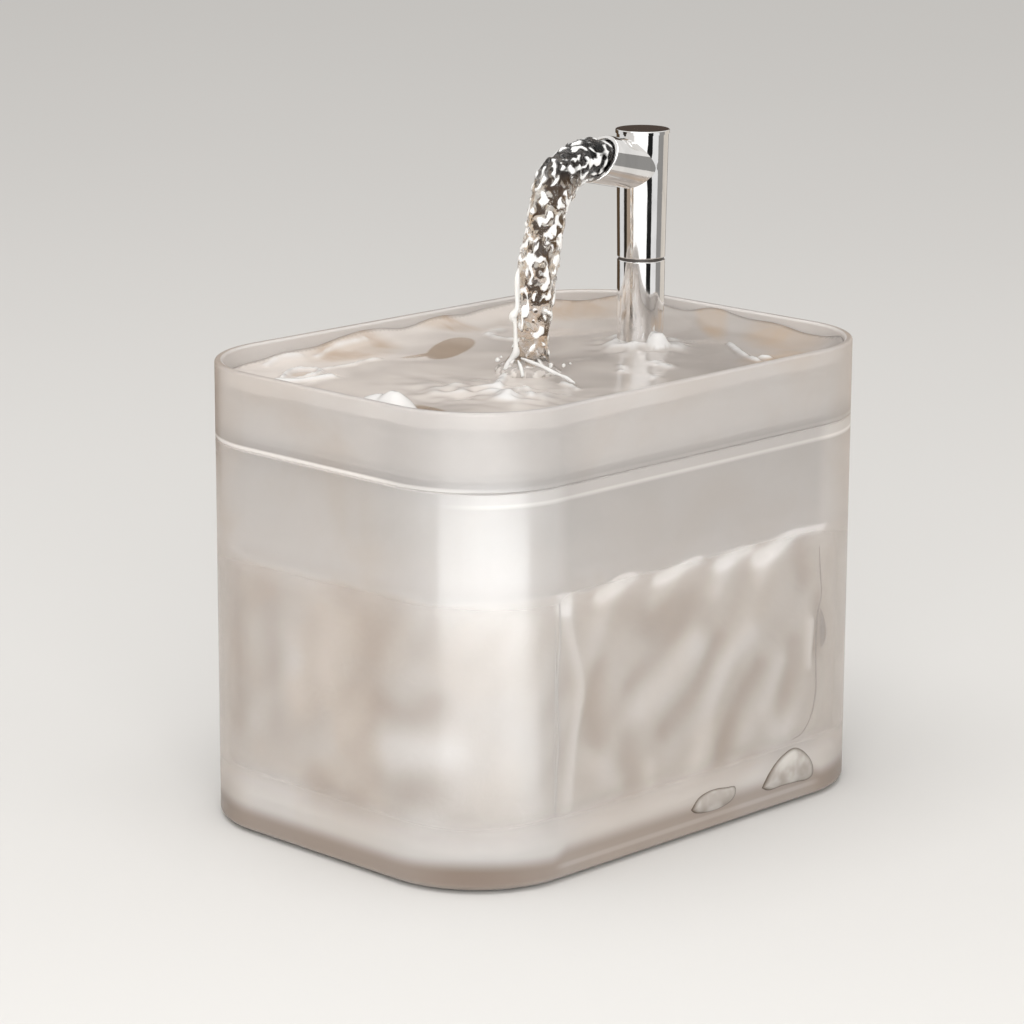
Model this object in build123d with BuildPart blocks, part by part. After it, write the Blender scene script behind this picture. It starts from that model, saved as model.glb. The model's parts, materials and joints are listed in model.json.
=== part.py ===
from build123d import *

import os
from math import cos, radians, sin, tan

# Pet water fountain: a frosted tank with a drinking tray on its rim, a chromed
# faucet that stands in the tray, a filter that hangs through the tray's floor
# and a submersible pump on the tank's floor, which feeds the faucet by a hose.
#
# Millimetres. +Z is up and the tank stands on Z = 0. X runs across the body and
# Y along it. The faucet stands near the rear, at +Y, and pours towards -Y.

os.makedirs("parts", exist_ok=True)

# ---------------------------------------------------------------- sizes

# Body: the tank and the tray share one outline.
body_width = 129.0
body_length = 181.0
body_height = 140.0
corner_radius = 33.0
wall = 2.4

# Clearances
lift_slip = 0.3  # between parts that lift out of one another
push_slip = 0.05  # between parts that are pushed together
run_slip = 0.07  # between parts that turn
layer_gap = 0.1  # between parts that lie on one another

# Tank
tank_floor = 2.4
base_depth = 5.0  # hollow under the floor
floor_radius = 5.0  # inside, between wall and floor
base_radius = 1.8  # outside, around the underside
foot_radius = 6.0
foot_gap = 1.0  # clear height under the tank's lower edge
foot_recess = 0.8
post_radius = 8.0  # of the posts that the feet are set in
foot_inset = 24.0  # from the outer walls to the foot's centre
notch_width = 9.0  # cable notch in the rear wall
notch_depth = 14.0

# Tray
tray_height = 23.0  # from the seam with the tank to the rim
tray_floor = 2.2
basin_radius = 4.0
rim_radius = 0.9
seam_chamfer = 0.35
skirt_depth = 4.0
skirt_wall = 1.8
socket_radius = 11.0  # boss that holds the faucet's foot
socket_depth = 5.0
socket_floor = 1.8
under_boss_radius = 8.5
under_boss_depth = 6.0

# Cable grommet
grommet_flange = 2.0
grommet_lip = 1.5
cable_bore = 1.8  # radius

# Filter, hanging through the tray's floor
filter_setback = 59.0  # from the front wall to the filter's centre
basket_width = 66.0
basket_length = 56.0
basket_depth = 30.0
basket_wall = 1.4
basket_radius = 7.0
flange_width = 3.2
flange_thickness = 1.6
cartridge_wall = 1.0
cartridge_rim = 3.0  # from the flange's top down to the cartridge's rim
foam_thickness = 5.0
resin_thickness = 6.0
carbon_thickness = 8.0
grate_thickness = 2.4
slot_width = 2.4
slot_length = 7.0
slot_pitch = 9.0
finger_hole = 5.0  # radius of the notches that a finger lifts the grate by

# Faucet
faucet_setback = 45.5  # from the rear wall to the faucet's axis
foot_end_radius = 7.1
split_radius = 7.35
head_top_radius = 7.95
column_bore = 6.0
split_rise = 21.5  # from the tray's rim to the swivel
head_rise = 60.0  # from the tray's rim to the top of the head
pipe_radius = 4.0
pipe_bore = 3.0
spigot_radius = 5.5
spigot_length = 12.0
tail_length = 18.0
pipe_rise = 9.0  # pipe above the swivel
washer_thickness = 0.8
washer_inset = 0.35
neck_length = 8.0
hub_height = 5.0
bush_height = 7.0
clip_thickness = 0.8
head_bore = 6.3
cap_thickness = 1.2
cap_overhang = 0.35
cap_plug = 2.5
spout_radius = 7.5
spout_bore = 6.2
spout_drop = 10.4  # from the head's top to the spout's axis, at the head's axis
spout_angle = 12.0  # above level
spout_reach = 20.3  # from the head's axis to the middle of the mouth
mouth_angle = 36.0  # the mouth leans back from upright
lip_radius = 0.35

# Pump
pump_radius = 5.0
pump_wall = 1.6
pump_sole = 3.4  # thicker underneath, for the suction cups' studs
cup_height = 6.0
cup_radius = 7.0
cup_stud = 2.6
cup_spacing_x = 20.0
cup_spacing_y = 22.0
chamber_depth = 10.0
chamber_radius = 12.5
cover_thickness = 2.5
cover_radius = 15.0
eye_radius = 7.0  # inlet in the middle of the chamber's cover
spoke_width = 2.0
well_depth = 18.0
well_wall = 1.2
motor_length = 25.0  # behind the impeller's chamber
nozzle_height = 12.5
hose_wall = 1.8
hose_overlap = 13.0  # over the nozzle and over the faucet's tail
shaft_radius = 1.0
shaft_slip = 0.05
impeller_radius = 10.5
blade_count = 6
blade_width = 5.2
blade_thickness = 1.2
magnet_radius = 7.1
magnet_gap = 0.5  # between the magnet and its well
sleeve_radius = 3.6
coil_thickness = 1.9
coil_height = 1.8
pole_width = 3.6
core_ring = 1.8
core_length = 9.0
core_margin = 1.0  # of potting under the stator
core_side = 2.3  # of potting beside the stator
intake_depth = 9.3
arm_length = 7.0
arm_width = 9.0
arm_thickness = 1.3
shutter_radius = 9.5
shutter_thickness = 1.2
fan_count = 4
fan_angle = 40.0
gland_radius = 3.2
gland_length = 7.0

# ---------------------------------------------------------------- places

inner_width = body_width - 2 * wall
inner_length = body_length - 2 * wall
inner_radius = corner_radius - wall
floor_top = foot_gap + base_depth + tank_floor
seam_z = body_height - tray_height
tray_top = seam_z + tray_floor
rear_y = body_length / 2

faucet_y = rear_y - faucet_setback
filter_y = filter_setback - body_length / 2
socket_z = tray_top + socket_floor
socket_top = socket_z + socket_depth
split_z = body_height + split_rise
head_z = body_height + head_rise
spout_z = head_z - spout_drop

# The pump is built outwards from its magnet.
well_radius = magnet_radius + magnet_gap
pole_tip = well_radius + well_wall + 0.2
coil_inner = pole_tip + 0.5
core_inner = coil_inner + coil_thickness + 0.9
core_outer = core_inner + core_ring
pump_width = 2 * (core_outer + core_side + pump_wall)
pump_height = 2 * (core_outer + core_margin + pump_sole)
pump_z = floor_top + cup_height
shaft_z = pump_z + pump_height / 2
pump_top = pump_z + pump_height
chamber_front = faucet_y - chamber_depth / 2
chamber_back = chamber_front + chamber_depth
casing_front = chamber_front - cover_thickness
casing_back = chamber_back + motor_length
pump_middle = (casing_front + casing_back) / 2

faucet_axis = Axis((0, faucet_y, 0), (0, 0, 1))
faucet_section = Plane(origin=(0, faucet_y, 0), x_dir=(1, 0, 0), z_dir=(0, -1, 0))
pump_axis = Axis((0, 0, shaft_z), (0, 1, 0))


def across(y):
    """Plane across the pump at y. It looks along +Y, with Z up."""
    return Plane(origin=(0, y, shaft_z), x_dir=(-1, 0, 0), z_dir=(0, 1, 0))


def around_faucet(z):
    """Level plane at height z, centred on the faucet's axis."""
    return Plane(origin=(0, faucet_y, z))


def over_filter(z):
    """Level plane at height z, centred on the filter."""
    return Plane(origin=(0, filter_y, z))


# ---------------------------------------------------------------- tank

with BuildPart() as tank:
    with BuildSketch(Plane.XY.offset(foot_gap)):
        RectangleRounded(body_width, body_length, corner_radius)
    extrude(amount=seam_z - foot_gap)
    fillet(tank.edges().group_by(Axis.Z)[0], base_radius)
    with BuildSketch(Plane.XY.offset(floor_top)):
        RectangleRounded(inner_width, inner_length, inner_radius)
    extrude(amount=seam_z - floor_top, mode=Mode.SUBTRACT)
    inner_floor = tank.faces().filter_by(Axis.Z).filter_by(lambda f: abs(f.center().Z - floor_top) < 0.01)
    fillet(inner_floor.edges(), floor_radius)
    rim = tank.faces().sort_by(Axis.Z)[-1]
    chamfer(rim.outer_wire().edges(), seam_chamfer)
    # Hollow base, with posts for the feet
    with BuildSketch(Plane.XY.offset(foot_gap)):
        RectangleRounded(inner_width, inner_length, inner_radius)
        with GridLocations(body_width - 2 * foot_inset, body_length - 2 * foot_inset, 2, 2):
            Circle(post_radius, mode=Mode.SUBTRACT)
    extrude(amount=base_depth, mode=Mode.SUBTRACT)
    with BuildSketch(Plane.XY.offset(foot_gap)):
        with GridLocations(body_width - 2 * foot_inset, body_length - 2 * foot_inset, 2, 2):
            Circle(foot_radius + layer_gap)
    extrude(amount=foot_recess, mode=Mode.SUBTRACT)
    with BuildSketch(Plane.XZ.offset(-rear_y)) as notch:
        with Locations((0, seam_z - notch_depth / 2)):
            Rectangle(notch_width, notch_depth)
        fillet(notch.vertices().group_by(Axis.Z)[0], notch_width / 2 - 0.01)
    extrude(amount=2 * wall, mode=Mode.SUBTRACT)
tank.part.label = "tank"

with BuildPart() as tank_feet:
    with BuildSketch():
        with GridLocations(body_width - 2 * foot_inset, body_length - 2 * foot_inset, 2, 2):
            Circle(foot_radius)
    extrude(amount=foot_gap + foot_recess)
    fillet(tank_feet.edges().group_by(Axis.Z)[0], foot_gap / 2)
tank_feet.part.label = "tank_feet"

grommet_width = notch_width - 2 * layer_gap
grommet_depth = notch_depth - layer_gap
bore_z = seam_z - notch_depth + notch_width / 2 + 1.0

with BuildPart() as cable_grommet:
    with BuildSketch(Plane.XZ.offset(-rear_y)) as plug:
        with Locations((0, seam_z - grommet_depth / 2)):
            Rectangle(grommet_width, grommet_depth)
        fillet(plug.vertices().group_by(Axis.Z)[0], grommet_width / 2 - 0.01)
    extrude(amount=wall + layer_gap)
    with BuildSketch(Plane.XZ.offset(-(rear_y - wall - layer_gap))) as lip:
        with Locations((0, seam_z - grommet_depth / 2 - grommet_lip / 2)):
            Rectangle(grommet_width + 2 * grommet_lip, grommet_depth + grommet_lip)
        fillet(lip.vertices().group_by(Axis.Z)[0], grommet_width / 2)
    extrude(amount=grommet_flange)
    with BuildSketch(Plane.XZ.offset(-rear_y)):
        with Locations((0, bore_z)):
            Circle(cable_bore)
    extrude(amount=wall + layer_gap + grommet_flange, mode=Mode.SUBTRACT)
cable_grommet.part.label = "cable_grommet"

# ---------------------------------------------------------------- tray

skirt_width = inner_width - 2 * lift_slip
skirt_length = inner_length - 2 * lift_slip
skirt_radius = inner_radius - lift_slip

with BuildPart() as tray:
    with BuildSketch(Plane.XY.offset(seam_z)):
        RectangleRounded(body_width, body_length, corner_radius)
    extrude(amount=tray_height)
    chamfer(tray.edges().group_by(Axis.Z)[0], seam_chamfer)
    with BuildSketch(Plane.XY.offset(tray_top)):
        RectangleRounded(inner_width, inner_length, inner_radius)
    extrude(amount=tray_height, mode=Mode.SUBTRACT)
    basin_floor = tray.faces().filter_by(Axis.Z).filter_by(lambda f: abs(f.center().Z - tray_top) < 0.01)
    fillet(basin_floor.edges(), basin_radius)
    fillet(tray.edges().group_by(Axis.Z)[-1], rim_radius)
    # Skirt that centres the tray inside the tank
    with BuildSketch(Plane.XY.offset(seam_z)):
        RectangleRounded(skirt_width, skirt_length, skirt_radius)
        RectangleRounded(
            skirt_width - 2 * skirt_wall,
            skirt_length - 2 * skirt_wall,
            skirt_radius - skirt_wall,
            mode=Mode.SUBTRACT,
        )
    extrude(amount=-skirt_depth)
    fillet(tray.edges().group_by(Axis.Z)[0], skirt_wall / 4)
    # Room for the cable grommet's inner flange
    with BuildSketch(Plane.XY.offset(seam_z)):
        with Locations((0, rear_y - wall)):
            Rectangle(notch_width + 2 * grommet_lip + 2 * lift_slip, 4 * skirt_wall)
    extrude(amount=-skirt_depth, mode=Mode.SUBTRACT)
    # Faucet's socket, above and below the floor
    with BuildSketch(around_faucet(tray_top - tray_floor / 2)):
        Circle(socket_radius)
    extrude(amount=tray_floor / 2 + socket_floor + socket_depth)
    fillet(tray.edges().filter_by(lambda e: abs(e.center().Z - socket_top) < 0.01), rim_radius)
    with BuildSketch(around_faucet(seam_z + tray_floor / 2)):
        Circle(under_boss_radius)
    extrude(amount=-tray_floor / 2 - under_boss_depth)
    with BuildSketch(around_faucet(socket_z)):
        Circle(foot_end_radius + push_slip)
    extrude(amount=socket_depth, mode=Mode.SUBTRACT)
    with BuildSketch(around_faucet(seam_z - under_boss_depth)):
        Circle(spigot_radius + push_slip)
    extrude(amount=socket_z - seam_z + under_boss_depth, mode=Mode.SUBTRACT)
    # Opening that the filter basket hangs in
    with BuildSketch(over_filter(seam_z)):
        RectangleRounded(basket_width + 2 * lift_slip, basket_length + 2 * lift_slip, basket_radius)
    extrude(amount=tray_floor, mode=Mode.SUBTRACT)
tray.part.label = "tray"

# ---------------------------------------------------------------- filter

basket_bottom = tray_top - basket_depth
flange_top = tray_top + flange_thickness
cell_width = basket_width - 2 * basket_wall  # room inside the basket
cell_length = basket_length - 2 * basket_wall
cell_radius = basket_radius - basket_wall
cartridge_width = cell_width - 2 * lift_slip
cartridge_length = cell_length - 2 * lift_slip
cartridge_radius = cell_radius - lift_slip
cartridge_bottom = basket_bottom + basket_wall
cartridge_top = flange_top - cartridge_rim
media_width = cartridge_width - 2 * cartridge_wall - 2 * layer_gap
media_length = cartridge_length - 2 * cartridge_wall - 2 * layer_gap
media_radius = cartridge_radius - cartridge_wall - layer_gap

slot_spacing = slot_pitch / 2  # from row to row
slot_columns = int((cartridge_width - 2 * finger_hole - slot_length) // slot_pitch)
slot_rows = int((media_length - slot_width) // slot_spacing) - 1

with BuildPart() as filter_basket:
    with BuildSketch(over_filter(basket_bottom)):
        RectangleRounded(basket_width, basket_length, basket_radius)
    extrude(amount=basket_depth)
    with BuildSketch(over_filter(tray_top)):
        RectangleRounded(
            basket_width + 2 * flange_width,
            basket_length + 2 * flange_width,
            basket_radius + flange_width,
        )
    extrude(amount=flange_thickness)
    fillet(filter_basket.edges().group_by(Axis.Z)[-1], flange_thickness / 3)
    with BuildSketch(over_filter(cartridge_bottom)):
        RectangleRounded(cell_width, cell_length, cell_radius)
    extrude(amount=basket_depth + flange_thickness, mode=Mode.SUBTRACT)
    with BuildSketch(over_filter(basket_bottom)):
        with GridLocations(slot_pitch, slot_spacing, slot_columns, slot_rows):
            SlotOverall(slot_length, slot_width)
    extrude(amount=basket_wall, mode=Mode.SUBTRACT)
filter_basket.part.label = "filter_basket"

with BuildPart() as cartridge_shell:
    with BuildSketch(over_filter(cartridge_bottom)):
        RectangleRounded(cartridge_width, cartridge_length, cartridge_radius)
    extrude(amount=cartridge_top - cartridge_bottom)
    with BuildSketch(over_filter(cartridge_bottom + cartridge_wall)):
        RectangleRounded(
            cartridge_width - 2 * cartridge_wall,
            cartridge_length - 2 * cartridge_wall,
            cartridge_radius - cartridge_wall,
        )
    extrude(amount=cartridge_top - cartridge_bottom, mode=Mode.SUBTRACT)
    with BuildSketch(over_filter(cartridge_bottom)):
        with GridLocations(slot_pitch, slot_spacing, slot_columns, slot_rows):
            SlotOverall(slot_length, slot_width)
    extrude(amount=cartridge_wall, mode=Mode.SUBTRACT)
cartridge_shell.part.label = "cartridge_shell"


def media_layer(bottom, thickness):
    """One layer of filter medium, as wide as the cartridge's inside."""
    with BuildPart() as layer:
        with BuildSketch(over_filter(bottom)):
            RectangleRounded(media_width, media_length, media_radius)
        extrude(amount=thickness)
    return layer.part


foam_z = cartridge_bottom + cartridge_wall
resin_z = foam_z + foam_thickness + layer_gap
carbon_z = resin_z + resin_thickness + layer_gap
cotton_z = carbon_z + carbon_thickness + layer_gap

filter_foam = media_layer(foam_z, foam_thickness)
filter_foam.label = "filter_foam"

resin_bed = media_layer(resin_z, resin_thickness)
resin_bed.label = "resin_bed"

carbon_bed = media_layer(carbon_z, carbon_thickness)
carbon_bed.label = "carbon_bed"

cotton_pad = media_layer(cotton_z, cartridge_top - layer_gap - cotton_z)
cotton_pad.label = "cotton_pad"

with BuildPart() as filter_grate:
    with BuildSketch(over_filter(cartridge_top)):
        RectangleRounded(cartridge_width, cartridge_length, cartridge_radius)
        with GridLocations(slot_pitch, slot_spacing, slot_columns, slot_rows):
            SlotOverall(slot_length, slot_width, mode=Mode.SUBTRACT)
        with Locations((cartridge_width / 2, 0), (-cartridge_width / 2, 0)):
            Circle(finger_hole, mode=Mode.SUBTRACT)
    extrude(amount=grate_thickness)
    fillet(filter_grate.faces().sort_by(Axis.Z)[-1].outer_wire().edges(), slot_width / 8)
filter_grate.part.label = "filter_grate"

# ---------------------------------------------------------------- faucet

column_top = split_z - washer_thickness / 2
head_bottom = split_z + washer_thickness / 2
hub_top = head_bottom + hub_height
groove_z = socket_z - spigot_length / 2
ring_section = 0.6  # radius of the spigot's O-ring section
ring_radius = spigot_radius - ring_section
swivel_ring_section = 0.45
swivel_ring_radius = pipe_radius + run_slip + swivel_ring_section
clip_z = hub_top + layer_gap
clip_bore = pipe_radius - 0.35

with BuildPart() as riser_pipe:
    with BuildSketch(around_faucet(socket_z - spigot_length - tail_length)):
        Circle(pipe_radius)
    extrude(amount=split_z + pipe_rise - socket_z + spigot_length + tail_length)
    with BuildSketch(around_faucet(socket_z - spigot_length)):
        Circle(spigot_radius)
    extrude(amount=spigot_length)
    with BuildSketch(around_faucet(socket_z)):
        Circle(column_bore - push_slip)
    extrude(amount=socket_depth)
    with BuildSketch(faucet_section):
        with Locations((ring_radius, groove_z)):
            Rectangle(2.2 * ring_section, 2.6 * ring_section)
        with Locations((pipe_radius, clip_z + clip_thickness / 2)):
            Rectangle(2 * (pipe_radius - clip_bore) + 2 * push_slip, clip_thickness + 2 * layer_gap)
    revolve(axis=faucet_axis, mode=Mode.SUBTRACT)
    with BuildSketch(around_faucet(socket_z - spigot_length - tail_length)):
        Circle(pipe_bore)
    extrude(amount=split_z + pipe_rise - socket_z + spigot_length + tail_length, mode=Mode.SUBTRACT)
    chamfer(riser_pipe.edges().group_by(Axis.Z)[0].sort_by(SortBy.RADIUS)[-1], 0.4)
riser_pipe.part.label = "riser_pipe"

with BuildPart() as spigot_o_ring:
    with BuildSketch(faucet_section):
        with Locations((ring_radius, groove_z)):
            Circle(ring_section)
    revolve(axis=faucet_axis)
spigot_o_ring.part.label = "spigot_o_ring"

with BuildPart() as faucet_column:
    with BuildSketch(faucet_section):
        with BuildLine():
            Polyline(
                (0, socket_z),
                (foot_end_radius, socket_z),
                (foot_end_radius, socket_z + socket_depth),
                (split_radius, column_top),
                (0, column_top),
                close=True,
            )
        make_face()
    revolve(axis=faucet_axis)
    fillet(faucet_column.edges().group_by(Axis.Z)[-1], lip_radius)
    with BuildSketch(around_faucet(socket_z)):
        Circle(column_bore)
    extrude(amount=column_top - socket_z, mode=Mode.SUBTRACT)
faucet_column.part.label = "faucet_column"

with BuildPart() as column_bush:
    with BuildSketch(around_faucet(column_top - neck_length - bush_height)):
        Circle(column_bore - push_slip)
        Circle(pipe_radius + push_slip, mode=Mode.SUBTRACT)
    extrude(amount=bush_height)
column_bush.part.label = "column_bush"

with BuildPart() as swivel_washer:
    with BuildSketch(around_faucet(column_top)):
        Circle(split_radius - washer_inset)
        Circle(column_bore, mode=Mode.SUBTRACT)
    extrude(amount=washer_thickness - layer_gap / 2)
swivel_washer.part.label = "swivel_washer"

mouth_y = faucet_y - spout_reach
mouth_z = spout_z + spout_reach * tan(radians(spout_angle))
spout_way = Vector(0, -cos(radians(spout_angle)), sin(radians(spout_angle)))
mouth_way = Vector(0, -cos(radians(mouth_angle)), sin(radians(mouth_angle)))
spout_plane = Plane(origin=(0, faucet_y, spout_z), x_dir=(1, 0, 0), z_dir=spout_way)
mouth_plane = Plane(origin=(0, mouth_y, mouth_z), x_dir=(1, 0, 0), z_dir=mouth_way)
spout_length = 2 * spout_reach

with BuildPart() as faucet_head:
    with BuildSketch(spout_plane):
        Circle(spout_radius)
    extrude(amount=spout_length)
    split(bisect_by=mouth_plane, keep=Keep.BOTTOM)
    with BuildSketch(faucet_section):
        with BuildLine():
            Polyline(
                (0, head_bottom),
                (split_radius, head_bottom),
                (head_top_radius, head_z),
                (0, head_z),
                close=True,
            )
        make_face()
    revolve(axis=faucet_axis)
    fillet(faucet_head.edges().group_by(Axis.Z)[0], lip_radius)
    with BuildSketch(around_faucet(hub_top)):
        Circle(head_bore)
    extrude(amount=head_z - hub_top, mode=Mode.SUBTRACT)
    with BuildSketch(spout_plane):
        Circle(spout_bore)
    extrude(amount=spout_length, mode=Mode.SUBTRACT)
    mouth_edges = faucet_head.edges().filter_by(
        lambda e: abs((e.center() - mouth_plane.origin).dot(mouth_way)) < 0.05
    )
    fillet(mouth_edges, lip_radius)
    # Neck that turns inside the column
    with BuildSketch(around_faucet(head_bottom)):
        Circle(column_bore - run_slip)
    extrude(amount=-neck_length - washer_thickness + layer_gap)
    with BuildSketch(around_faucet(head_bottom - neck_length - washer_thickness)):
        Circle(pipe_radius + run_slip)
    extrude(amount=hub_top - head_bottom + neck_length + washer_thickness, mode=Mode.SUBTRACT)
    with BuildSketch(faucet_section):
        with Locations((swivel_ring_radius, head_bottom + hub_height / 2)):
            Rectangle(2.4 * swivel_ring_section, 2.4 * swivel_ring_section)
    revolve(axis=faucet_axis, mode=Mode.SUBTRACT)
faucet_head.part.label = "faucet_head"

with BuildPart() as head_o_ring:
    with BuildSketch(faucet_section):
        with Locations((swivel_ring_radius, head_bottom + hub_height / 2)):
            Circle(swivel_ring_section)
    revolve(axis=faucet_axis)
head_o_ring.part.label = "head_o_ring"

with BuildPart() as retaining_clip:
    with BuildSketch(around_faucet(clip_z)):
        Circle(head_bore - 1.0)
        Circle(clip_bore, mode=Mode.SUBTRACT)
        with Locations((0, head_bore / 2)):
            Rectangle(clip_bore, head_bore, mode=Mode.SUBTRACT)
    extrude(amount=clip_thickness)
retaining_clip.part.label = "retaining_clip"

with BuildPart() as head_cap:
    with BuildSketch(around_faucet(head_z)):
        Circle(head_top_radius + cap_overhang)
    extrude(amount=cap_thickness)
    fillet(head_cap.edges().group_by(Axis.Z)[-1], lip_radius)
    with BuildSketch(around_faucet(head_z)):
        Circle(head_bore - layer_gap)
    extrude(amount=-cap_plug)
head_cap.part.label = "head_cap"

# ---------------------------------------------------------------- pump

casing_depth = casing_back - casing_front
well_end = chamber_back + well_depth
cavity_front = chamber_back + pump_wall
stud_depth = pump_sole - 0.8
room_width = pump_width - 2 * pump_wall
room_height = pump_height - pump_wall - pump_sole
room_rise = (pump_sole - pump_wall) / 2
room_radius = pump_radius - pump_wall

with BuildPart() as pump_casing:
    with BuildSketch(across(casing_front)):
        RectangleRounded(pump_width, pump_height, pump_radius)
    extrude(amount=casing_depth)
    # Motor's room, open at the back, with the rotor's well standing in it
    with BuildSketch(across(cavity_front)):
        with Locations((0, room_rise)):
            RectangleRounded(room_width, room_height, room_radius)
    extrude(amount=casing_depth, mode=Mode.SUBTRACT)
    with BuildSketch(across(chamber_back)):
        Circle(well_radius + well_wall)
    extrude(amount=well_depth + well_wall)
    with BuildSketch(across(chamber_back)):
        Circle(well_radius)
    extrude(amount=well_depth, mode=Mode.SUBTRACT)
    # Impeller's chamber and the rebate of its cover
    with BuildSketch(across(chamber_front)):
        Circle(chamber_radius)
    extrude(amount=chamber_depth, mode=Mode.SUBTRACT)
    with BuildSketch(across(casing_front)):
        Circle(cover_radius + layer_gap)
    extrude(amount=cover_thickness, mode=Mode.SUBTRACT)
    # Outlet nozzle, under the faucet
    with BuildSketch(around_faucet(pump_top)):
        Circle(pipe_radius)
    extrude(amount=nozzle_height)
    chamfer(pump_casing.edges().group_by(Axis.Z)[-1], 0.5)
    with BuildSketch(around_faucet(pump_top)):
        Circle(pipe_radius + hose_wall)
        Circle(pipe_radius, mode=Mode.SUBTRACT)
    extrude(amount=1.2)
    with BuildSketch(around_faucet(shaft_z + chamber_radius - pipe_bore)):
        Circle(pipe_bore)
    extrude(amount=pump_height / 2 + nozzle_height, mode=Mode.SUBTRACT)
    # Sockets for the suction cups' studs
    with BuildSketch(Plane(origin=(0, pump_middle, pump_z))):
        with GridLocations(cup_spacing_x, cup_spacing_y, 2, 2):
            Circle(cup_stud + layer_gap)
    extrude(amount=stud_depth, mode=Mode.SUBTRACT)
    # Grooves for the intake cover's arms
    with BuildSketch(across(casing_front)):
        with Locations((pump_width / 2, 0), (-pump_width / 2, 0)):
            Rectangle(2 * (arm_thickness + layer_gap), arm_width + 2 * lift_slip)
    extrude(amount=arm_length + layer_gap, mode=Mode.SUBTRACT)
pump_casing.part.label = "pump_casing"

with BuildPart() as suction_cups:
    with BuildSketch(Plane(origin=(0, pump_middle, floor_top))):
        with GridLocations(cup_spacing_x, cup_spacing_y, 2, 2):
            Circle(cup_radius)
    extrude(amount=cup_height * 0.6, taper=45)
    with BuildSketch(Plane(origin=(0, pump_middle, floor_top))):
        with GridLocations(cup_spacing_x, cup_spacing_y, 2, 2):
            Circle(cup_stud)
    extrude(amount=cup_height + stud_depth - layer_gap)
    with BuildSketch(Plane(origin=(0, pump_middle, floor_top))):
        with GridLocations(cup_spacing_x, cup_spacing_y, 2, 2):
            Circle(cup_radius - 1.2)
    extrude(amount=cup_height * 0.35, taper=55, mode=Mode.SUBTRACT)
suction_cups.part.label = "suction_cups"

with BuildPart() as volute_cover:
    with BuildSketch(across(casing_front)):
        Circle(cover_radius)
        Circle(eye_radius, mode=Mode.SUBTRACT)
        with PolarLocations(0, 3, start_angle=90):
            Rectangle(cover_radius - 1.0, spoke_width, align=(Align.MIN, Align.CENTER))
        Circle(sleeve_radius)
    extrude(amount=cover_thickness)
    with BuildSketch(across(casing_front + 1.0)):
        Circle(2 * shaft_radius + layer_gap)
    extrude(amount=cover_thickness, mode=Mode.SUBTRACT)
volute_cover.part.label = "volute_cover"

bush_length = 2.6
front_bush = casing_front + 1.0
rear_bush = well_end - bush_length / 2

with BuildPart() as shaft_bushes:
    with BuildSketch(across(front_bush)):
        Circle(2 * shaft_radius)
    extrude(amount=bush_length)
    with BuildSketch(across(rear_bush)):
        Circle(well_radius - push_slip)
    extrude(amount=bush_length / 2)
    with BuildSketch(across(front_bush + layer_gap)):
        Circle(shaft_radius + shaft_slip / 2)
    extrude(amount=well_end - front_bush, mode=Mode.SUBTRACT)
shaft_bushes.part.label = "shaft_bushes"

with BuildPart() as impeller_shaft:
    with BuildSketch(across(front_bush + 2 * layer_gap)):
        Circle(shaft_radius)
    extrude(amount=well_end - front_bush - 3 * layer_gap)
    chamfer(impeller_shaft.edges(), 0.15)
impeller_shaft.part.label = "impeller_shaft"

impeller_front = front_bush + bush_length + lift_slip
disc_front = impeller_front + blade_width
rotor_back = rear_bush - lift_slip
magnet_front = chamber_back + 1.0

with BuildPart() as impeller:
    with BuildSketch(across(impeller_front)):
        Circle(sleeve_radius)
    extrude(amount=rotor_back - impeller_front)
    with BuildSketch(across(impeller_front)):
        with PolarLocations(sleeve_radius - 0.6, blade_count):
            Rectangle(
                impeller_radius - sleeve_radius + 0.4,
                blade_thickness,
                align=(Align.MIN, Align.CENTER),
            )
    extrude(amount=blade_width)
    with BuildSketch(across(disc_front)):
        Circle(impeller_radius)
    extrude(amount=blade_thickness)
    with BuildSketch(across(impeller_front)):
        Circle(shaft_radius + shaft_slip)
    extrude(amount=rotor_back - impeller_front, mode=Mode.SUBTRACT)
impeller.part.label = "impeller"

with BuildPart() as rotor_magnet:
    with BuildSketch(across(magnet_front)):
        Circle(magnet_radius)
        Circle(sleeve_radius + shaft_slip, mode=Mode.SUBTRACT)
    extrude(amount=rotor_back - magnet_front - layer_gap)
    chamfer(rotor_magnet.edges().filter_by(GeomType.CIRCLE).group_by(SortBy.RADIUS)[-1], 0.3)
rotor_magnet.part.label = "rotor_magnet"

core_front = cavity_front + 3.0

with BuildPart() as stator_core:
    with BuildSketch(across(core_front)):
        Circle(core_outer)
        Circle(core_inner, mode=Mode.SUBTRACT)
        with PolarLocations(pole_tip - 0.4, 4):
            Rectangle(core_inner - pole_tip + 1.0, pole_width, align=(Align.MIN, Align.CENTER))
        Circle(pole_tip, mode=Mode.SUBTRACT)
    extrude(amount=core_length)
stator_core.part.label = "stator_core"

coil_length = core_length + 2 * coil_height + 2 * layer_gap
coil_width = pole_width + 2 * coil_height + 2 * layer_gap

with BuildPart() as stator_coils:
    with BuildSketch(across(core_front - coil_height - layer_gap)):
        with PolarLocations(coil_inner, 4):
            Rectangle(coil_thickness, coil_width, align=(Align.MIN, Align.CENTER))
    extrude(amount=coil_length)
    with BuildSketch(across(core_front - layer_gap)):
        with PolarLocations(pole_tip, 4):
            Rectangle(core_inner - pole_tip, pole_width + 2 * layer_gap, align=(Align.MIN, Align.CENTER))
    extrude(amount=core_length + 2 * layer_gap, mode=Mode.SUBTRACT)
stator_coils.part.label = "stator_coils"

board_front = well_end + well_wall + 0.4
board_width = pump_width - 2 * pump_wall - 4.0
board_height = pump_height / 2 - 1.5
board_drop = 3.5

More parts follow.
